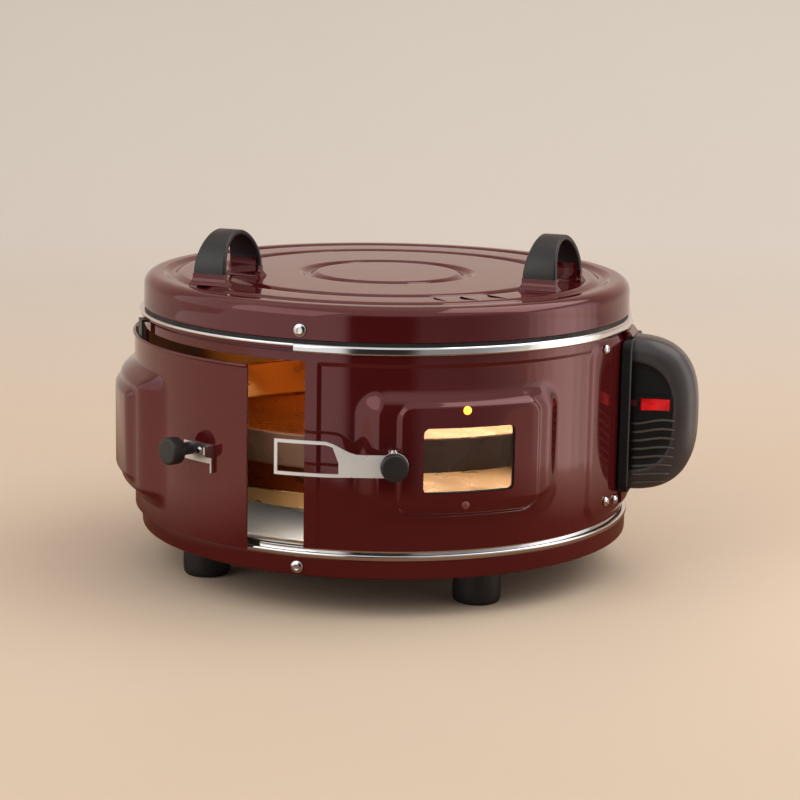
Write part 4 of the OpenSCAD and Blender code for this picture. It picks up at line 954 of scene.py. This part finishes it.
def rib_form(k):
    """One rib, thin at both ends, that follows the housing."""
    base = SWITCH_UP - RIB_DROP - RIB_PITCH * k
    reach = RIB_REACH - 0.42 * max(0, k - 3) ** 2
    swell = 4.4 - 0.4 * k
    sections = []
    for s in range(RIB_STEPS + 1):
        t = s / RIB_STEPS
        x = RIB_START + (reach - RIB_START) * t
        z = base + swell * (math.sin(math.radians(RIB_WAVE * t)) ** 2 - 0.5)
        thin = math.sin(math.pi * min(1, 0.02 + t * 12, 0.02 + (1 - t) * 8) / 2)
        seat = RIB_SINK - housing_side(x, z)
        sections.append([(x, seat - RIB_OUT * thin * max(0, out), z + RIB_HALF_H * thin * up)
                         for out, up in circle(1, 12)])
    return sweep(sections)


def make_ribs():
    parts = [moved(rib_form(k), BOX_AT) for k in range(RIB_COUNT)]
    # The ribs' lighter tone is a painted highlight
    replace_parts(piece("control_ribs", "drum", [RIB_PLASTIC_PAINTED_HIGHLIGHT], parts), "control_housing")


# Switch surround, the ticks beside it and the plate's bead
TICKS = 5
TICK_PITCH = 1.1


def make_switch():
    where = BOX_AT @ Matrix.Translation((SWITCH_U, 0, SWITCH_UP))
    outer = rectangle(28.8, 14.6, 2.5)
    inner = rectangle(24.6, 9.8, 1.6)
    eased = [(u * 0.985, v * 0.98) for u, v in outer]
    rings = [(outer, -21.0), (outer, -22.6), (eased, -23.0), (inner, -23.0), (inner, -17.0)]
    sections = [[(u, y, v) for u, v in ring] for ring, y in rings]
    bezel = piece("switch_bezel", "drum", [FACE_BLACK], [moved(sweep(sections, False), where)])
    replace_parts(bezel, "switch_body")
    ticks = []
    for k in range(TICKS):
        u = -14.6 - TICK_PITCH * k
        bar = [[(u + du, y, v) for du, v in rectangle(0.6, 5.2, 0.25, 3)] for y in (-21.0, -21.6)]
        ticks.append(moved(sweep(bar), where))
    piece("switch_ticks", "drum", [DIM_RED], ticks)


def make_plate_bead():
    """Rounded bead round the front of the control box's back plate."""
    out_by, wide_by = 1.1, 1.3
    path = rectangle(2 * BOX_HALF_W + 22, 2 * BOX_HALF_H - 4, 8, 8)
    count = len(path)
    rings = []
    for i, (y, z) in enumerate(path):
        ahead = Vector(path[(i + 1) % count]) - Vector(path[i - 1])
        aside = Vector((ahead.y, -ahead.x)).normalized()
        rings.append([(PLATE_T + out_by * out, y + aside.x * wide_by * wide, z + aside.y * wide_by * wide)
                      for out, wide in circle(1, 10)])
    bead = sweep(rings + [rings[0]], closed_ends=False)
    piece("plate_bead", "drum", [CHARCOAL], [moved(bead, BOX_AT)])


# Fittings that keep their CAD shape
SOFT_EDGES = (("latch_strap", 0.4), ("door_catch", 0.4), ("latch_bracket", 0.2), ("control_backplate", 1.2),
              ("power_switch", 0.5), ("box_bracket", 0.5), ("hinge_drum_leaf", 0.3), ("hinge_lid_leaf", 0.3))


def dress_nodes():
    finish_nodes(POLISHED, "latch_bracket", "latch_pin", "catch_rivet")
    # The latch strap's pale tone is a painted sheen
    finish_nodes(PAINTED_SHEEN_STEEL, "latch_strap")
    finish_nodes(SATIN, "foot_screws", "lower_heater_clips", "tray_supports", "window_retainer",
                 "hinge_drum_leaf", "hinge_pin", "lid_reflector", "lid_heater_clips", "hinge_lid_leaf",
                 "handle_screws", "knob_screw", "door_catch")
    finish_nodes(HOT_TUBE, "lid_heater")
    finish_nodes(DULL_TUBE, "lower_heater")
    finish_nodes(CHARCOAL, "cord_gland", "door_shoes", "door_hangers")
    finish_nodes(FACE_BLACK, "control_backplate")
    finish_nodes(ENAMEL, "box_bracket")
    finish_nodes(RUBBER, "window_gasket", "lid_seal")
    finish_nodes(CERAMIC, "base_terminal", "thermostat", "terminal_block", "lid_terminal")
    finish_nodes(RED, "power_switch")
    for name, width in SOFT_EDGES:
        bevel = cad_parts[name].modifiers.new("soft_edges", "BEVEL")
        bevel.width = width * MM
        bevel.segments = 3
        bevel.limit_method = "ANGLE"
        bevel.angle_limit = math.radians(40)
        bevel.harden_normals = False


# Studio
# Azimuth and level of the room's light all round the oven
ROOM = ((-180, 0.70), (-110, 0.72), (-24, 0.68), (-20, 0.62), (-15.5, 0.02), (11, 0.02), (17, 0.20),
        (40, 0.20), (56, 0.34), (70, 0.55), (110, 0.50), (140, 0.60), (180, 0.70))
ROOM_STRENGTH = 1.25
ROOM_TINT = (1, 0.975, 0.94)
CEILING = (0.62, 0.61, 0.59)
CEILING_RISE = (0.45, 0.65)
SEEN_ROOM = (0.72, 0.67, 0.61)
FLOOR_TONES = [(0.74, 0.59, 0.45), (0.76, 0.61, 0.47)]
WALL_TONES = [(0.79, 0.73, 0.66), (0.82, 0.76, 0.69)]
ROSY_TONES = [(0.86, 0.67, 0.60), (0.89, 0.70, 0.63)]
# Tones of the painted dark reflection: the floor near the oven as glossy rays see it
PAINTED_DARK_REFLECTION_TONES = [(0.20, 0.105, 0.060), (0.24, 0.130, 0.075)]
# Metres over which the paper goes from floor to wall, from wall to rosy, and over which its part painted dark
# for reflections ends
FLOOR_TO_WALL_Y = (0.4, 1.9)
WALL_TO_ROSY_Z = (0.42, 0.62)
PAINTED_DARK_LEFT_X = (-0.5, -0.3)
PAINTED_DARK_RIGHT_X = (0.4, 0.6)


def blended(tree, factor, first, second):
    """Mix of two colours by a factor."""
    node = tree.nodes.new("ShaderNodeMix")
    node.data_type = "RGBA"
    tree.links.new(factor, node.inputs["Factor"])
    tree.links.new(first, node.inputs["A"])
    tree.links.new(second, node.inputs["B"])
    return node.outputs["Result"]


def product(tree, first, second):
    """Product of two values."""
    node = tree.nodes.new("ShaderNodeMath")
    node.operation = "MULTIPLY"
    tree.links.new(first, node.inputs[0])
    tree.links.new(second, node.inputs[1])
    return node.outputs["Value"]


def chosen(tree, factor, first, second, output):
    """Sends one of two shaders, by a factor, to the output node."""
    node = tree.nodes.new("ShaderNodeMixShader")
    tree.links.new(factor, node.inputs["Fac"])
    tree.links.new(first, node.inputs[1])
    tree.links.new(second, node.inputs[2])
    tree.links.new(node.outputs["Shader"], tree.nodes[output].inputs["Surface"])


def make_world():
    """Soft room light: pale sides, back and ceiling, and a dark stretch in front, behind the photographer."""
    world = bpy.data.worlds.new("studio")
    scene.world = world
    world.use_nodes = True
    tree = world.node_tree
    room = tree.nodes["Background"]
    way = tree.nodes.new("ShaderNodeTexCoord")
    split = tree.nodes.new("ShaderNodeSeparateXYZ")
    tree.links.new(way.outputs["Generated"], split.inputs["Vector"])
    front = ranged(tree, split.outputs["Y"], (-1, 1), (1, -1))
    azimuth = tree.nodes.new("ShaderNodeMath")
    azimuth.operation = "ARCTAN2"
    tree.links.new(split.outputs["X"], azimuth.inputs[0])
    tree.links.new(front, azimuth.inputs[1])
    around = tree.nodes.new("ShaderNodeValToRGB")
    stops = around.color_ramp.elements
    while len(stops) < len(ROOM):
        stops.new(0.5)
    for stop, (az, level) in zip(stops, ROOM):
        stop.position = (az + 180) / 360
        stop.color = (*(level * part for part in ROOM_TINT), 1)
    tree.links.new(ranged(tree, azimuth.outputs["Value"], (-math.pi, math.pi)), around.inputs["Fac"])
    mix = tree.nodes.new("ShaderNodeMix")
    mix.data_type = "RGBA"
    tree.links.new(ranged(tree, split.outputs["Z"], CEILING_RISE), mix.inputs["Factor"])
    tree.links.new(around.outputs["Color"], mix.inputs["A"])
    mix.inputs["B"].default_value = (*CEILING, 1)
    tree.links.new(mix.outputs["Result"], room.inputs["Color"])
    room.inputs["Strength"].default_value = ROOM_STRENGTH
    seen = tree.nodes.new("ShaderNodeBackground")
    seen.inputs["Color"].default_value = (*SEEN_ROOM, 1)
    path = tree.nodes.new("ShaderNodeLightPath")
    chosen(tree, path.outputs["Is Camera Ray"], room.outputs["Background"], seen.outputs["Background"],
           "World Output")


def paper_surface():
    """Plain paper: a warm pale floor, a paler wall and a rosy stretch above the picture.

    The floor near the oven is painted dark where reflections see it, a painted dark reflection which keeps
    the lower wall as dark as it should be.
    """
    made = surface("studio_paper", FLOOR_TONES, tone_scale=1.5, rough=(0.55, 0.6), rough_scale=5,
                   bump_scale=200, bump_depth=0.02)
    tree = made.node_tree
    shader = tree.nodes["Principled BSDF"]
    floor = shader.inputs["Base Color"].links[0].from_socket
    mottle = floor.node.inputs["Fac"].links[0].from_socket
    where = tree.nodes.new("ShaderNodeTexCoord")
    split = tree.nodes.new("ShaderNodeSeparateXYZ")
    tree.links.new(where.outputs["Object"], split.inputs["Vector"])
    x, y, z = (split.outputs[axis] for axis in "XYZ")
    wall = blended(tree, ranged(tree, y, FLOOR_TO_WALL_Y), floor, toned(tree, mottle, WALL_TONES))
    all_over = blended(tree, ranged(tree, z, WALL_TO_ROSY_Z), wall, toned(tree, mottle, ROSY_TONES))
    tree.links.new(all_over, shader.inputs["Base Color"])
    # Painted dark reflection: glossy rays see the floor near the oven in dim tones
    dim = tree.nodes.new("ShaderNodeBsdfDiffuse")
    tree.links.new(toned(tree, mottle, PAINTED_DARK_REFLECTION_TONES), dim.inputs["Color"])
    path = tree.nodes.new("ShaderNodeLightPath")
    close_by = product(tree, ranged(tree, x, PAINTED_DARK_LEFT_X), ranged(tree, x, PAINTED_DARK_RIGHT_X, (1, 0)))
    on_floor = product(tree, ranged(tree, y, FLOOR_TO_WALL_Y, (1, 0)), close_by)
    mirrored = product(tree, path.outputs["Is Glossy Ray"], on_floor)
    chosen(tree, mirrored, shader.outputs["BSDF"], dim.outputs["BSDF"], "Material Output")
    return made


def make_sweep():
    """Paper sweep: it hangs over the table's front edge, lies under the oven and rises behind it."""
    front, back = -0.62, 1.6
    hang_r, bend_r = 0.05, 0.8
    low, high, half_width = -1.2, 4.0, 5.0
    profile = [(front - hang_r, low)]
    for s in range(7):
        a = math.radians(90 * s / 6)
        profile.append((front - hang_r * math.cos(a), hang_r * math.sin(a) - hang_r))
    for s in range(13):
        a = math.radians(90 * s / 12)
        profile.append((back + bend_r * math.sin(a), bend_r - bend_r * math.cos(a)))
    profile.append((back + bend_r, high))
    mesh = bpy.data.meshes.new("studio_sweep")
    points = [(x, y, z) for y, z in profile for x in (-half_width, half_width)]
    faces = [(2 * i, 2 * i + 1, 2 * i + 3, 2 * i + 2) for i in range(len(profile) - 1)]
    mesh.from_pydata(points, [], faces)
    mesh.shade_smooth()
    floor = bpy.data.objects.new("studio_sweep", mesh)
    scene.collection.objects.link(floor)
    mesh.materials.append(paper_surface())


def hang(name, data, spot, aim, power, color):
    """Puts a lamp at a spot, facing a place."""
    data.energy = power
    data.color = color
    lamp = bpy.data.objects.new(name, data)
    lamp.location = spot
    lamp.rotation_euler = (Vector(aim) - Vector(spot)).to_track_quat("-Z", "Y").to_euler()
    scene.collection.objects.link(lamp)


def add_panel(name, spot, aim, size, power, color):
    """A flat lamp."""
    data = bpy.data.lights.new(name, "AREA")
    data.shape = "RECTANGLE"
    data.size, data.size_y = size
    hang(name, data, spot, aim, power, color)


def add_spot(name, spot, aim, cone, power, color):
    """A small lamp with a cone of light."""
    data = bpy.data.lights.new(name, "SPOT")
    data.spot_size = math.radians(cone)
    data.spot_blend = 0.8
    data.shadow_soft_size = 0.008
    hang(name, data, spot, aim, power, color)


def make_lamps_outside():
    """A soft key from the right, a fill from the left, and nested strips on the right for a soft streak."""
    oven = (0, 0, 0.12)
    warm = (1.0, 0.97, 0.93)
    add_panel("key", (1.5, 0.2, 2.3), oven, (2.4, 2.0), 26, warm)
    add_panel("fill", (-1.7, -1.3, 1.5), oven, (2.0, 2.0), 12, warm)
    strip_x, strip_y, strip_z = 0.62, -0.14, 0.22
    strip_apart, strip_high, strip_level = 0.004, 0.44, 0.33
    for k, wide in enumerate((0.46, 0.35, 0.24, 0.13)):
        spot = (strip_x - strip_apart * k, strip_y, strip_z)
        power = math.pi * strip_level * wide * strip_high
        add_panel(f"strip_{k}", spot, (0, strip_y, strip_z), (wide, strip_high), power, warm)


def make_glow():
    """Warm light of the heaters inside the oven, and daylight that falls in low at the door."""
    amber = (1.0, 0.33, 0.06)
    pale_amber = (1.0, 0.74, 0.50)
    day = (1.0, 0.96, 0.90)
    add_panel("glow_right", (0.035, 0.13, 0.148), (0.045, -0.06, 0.107), (0.16, 0.012), 0.082, pale_amber)
    add_panel("glow_low", (0.05, 0.03, 0.1015), (0.05, -0.10, 0.075), (0.20, 0.008), 0.036, pale_amber)
    add_spot("glow_left", (-0.055, -0.14, 0.190), (-0.092, 0.165, 0.150), 34, 7.4, amber)
    add_spot("glow_low_left", (-0.05, -0.12, 0.101), (-0.10, 0.12, 0.085), 60, 0.9, amber)
    add_spot("door_light", (-0.03, -0.172, 0.066), (-0.10, -0.11, 0.047), 85, 1.9, day)


def make_studio():
    make_world()
    make_sweep()
    make_lamps_outside()
    make_glow()
    scene.view_settings.view_transform = "Standard"


# Camera, fitted to the photo's ellipses; lengths in pixels of the photo, angles in radians
FRAME_PX = 800
FOCAL_PX = 2307.137
MIDDLE_PX = 385.215
CAMERA_SPOT = (0, -1.891993, 0.50079)
CAMERA_PITCH = 0.193
CAMERA_ROLL = 0.016


def make_camera():
    data = bpy.data.cameras.new("photo_camera")
    data.sensor_fit = "HORIZONTAL"
    data.sensor_width = 36
    data.lens = FOCAL_PX * data.sensor_width / FRAME_PX
    data.shift_x = (FRAME_PX / 2 - MIDDLE_PX) / FRAME_PX
    camera = bpy.data.objects.new("photo_camera", data)
    camera.location = CAMERA_SPOT
    camera.rotation_mode = "QUATERNION"
    pose = Matrix.Rotation(math.pi / 2 - CAMERA_PITCH, 4, "X") @ Matrix.Rotation(CAMERA_ROLL, 4, "Z")
    camera.rotation_quaternion = pose.to_quaternion()
    scene.collection.objects.link(camera)
    scene.camera = camera


make_camera()
make_studio()
make_drum_wall()
make_rings()
make_feet()
make_inside()
make_window()
make_lamps()
make_screws()
make_lid()
make_handles()
make_door()
make_knobs()
make_housing()
make_ribs()
make_switch()
make_plate_bead()
dress_nodes()
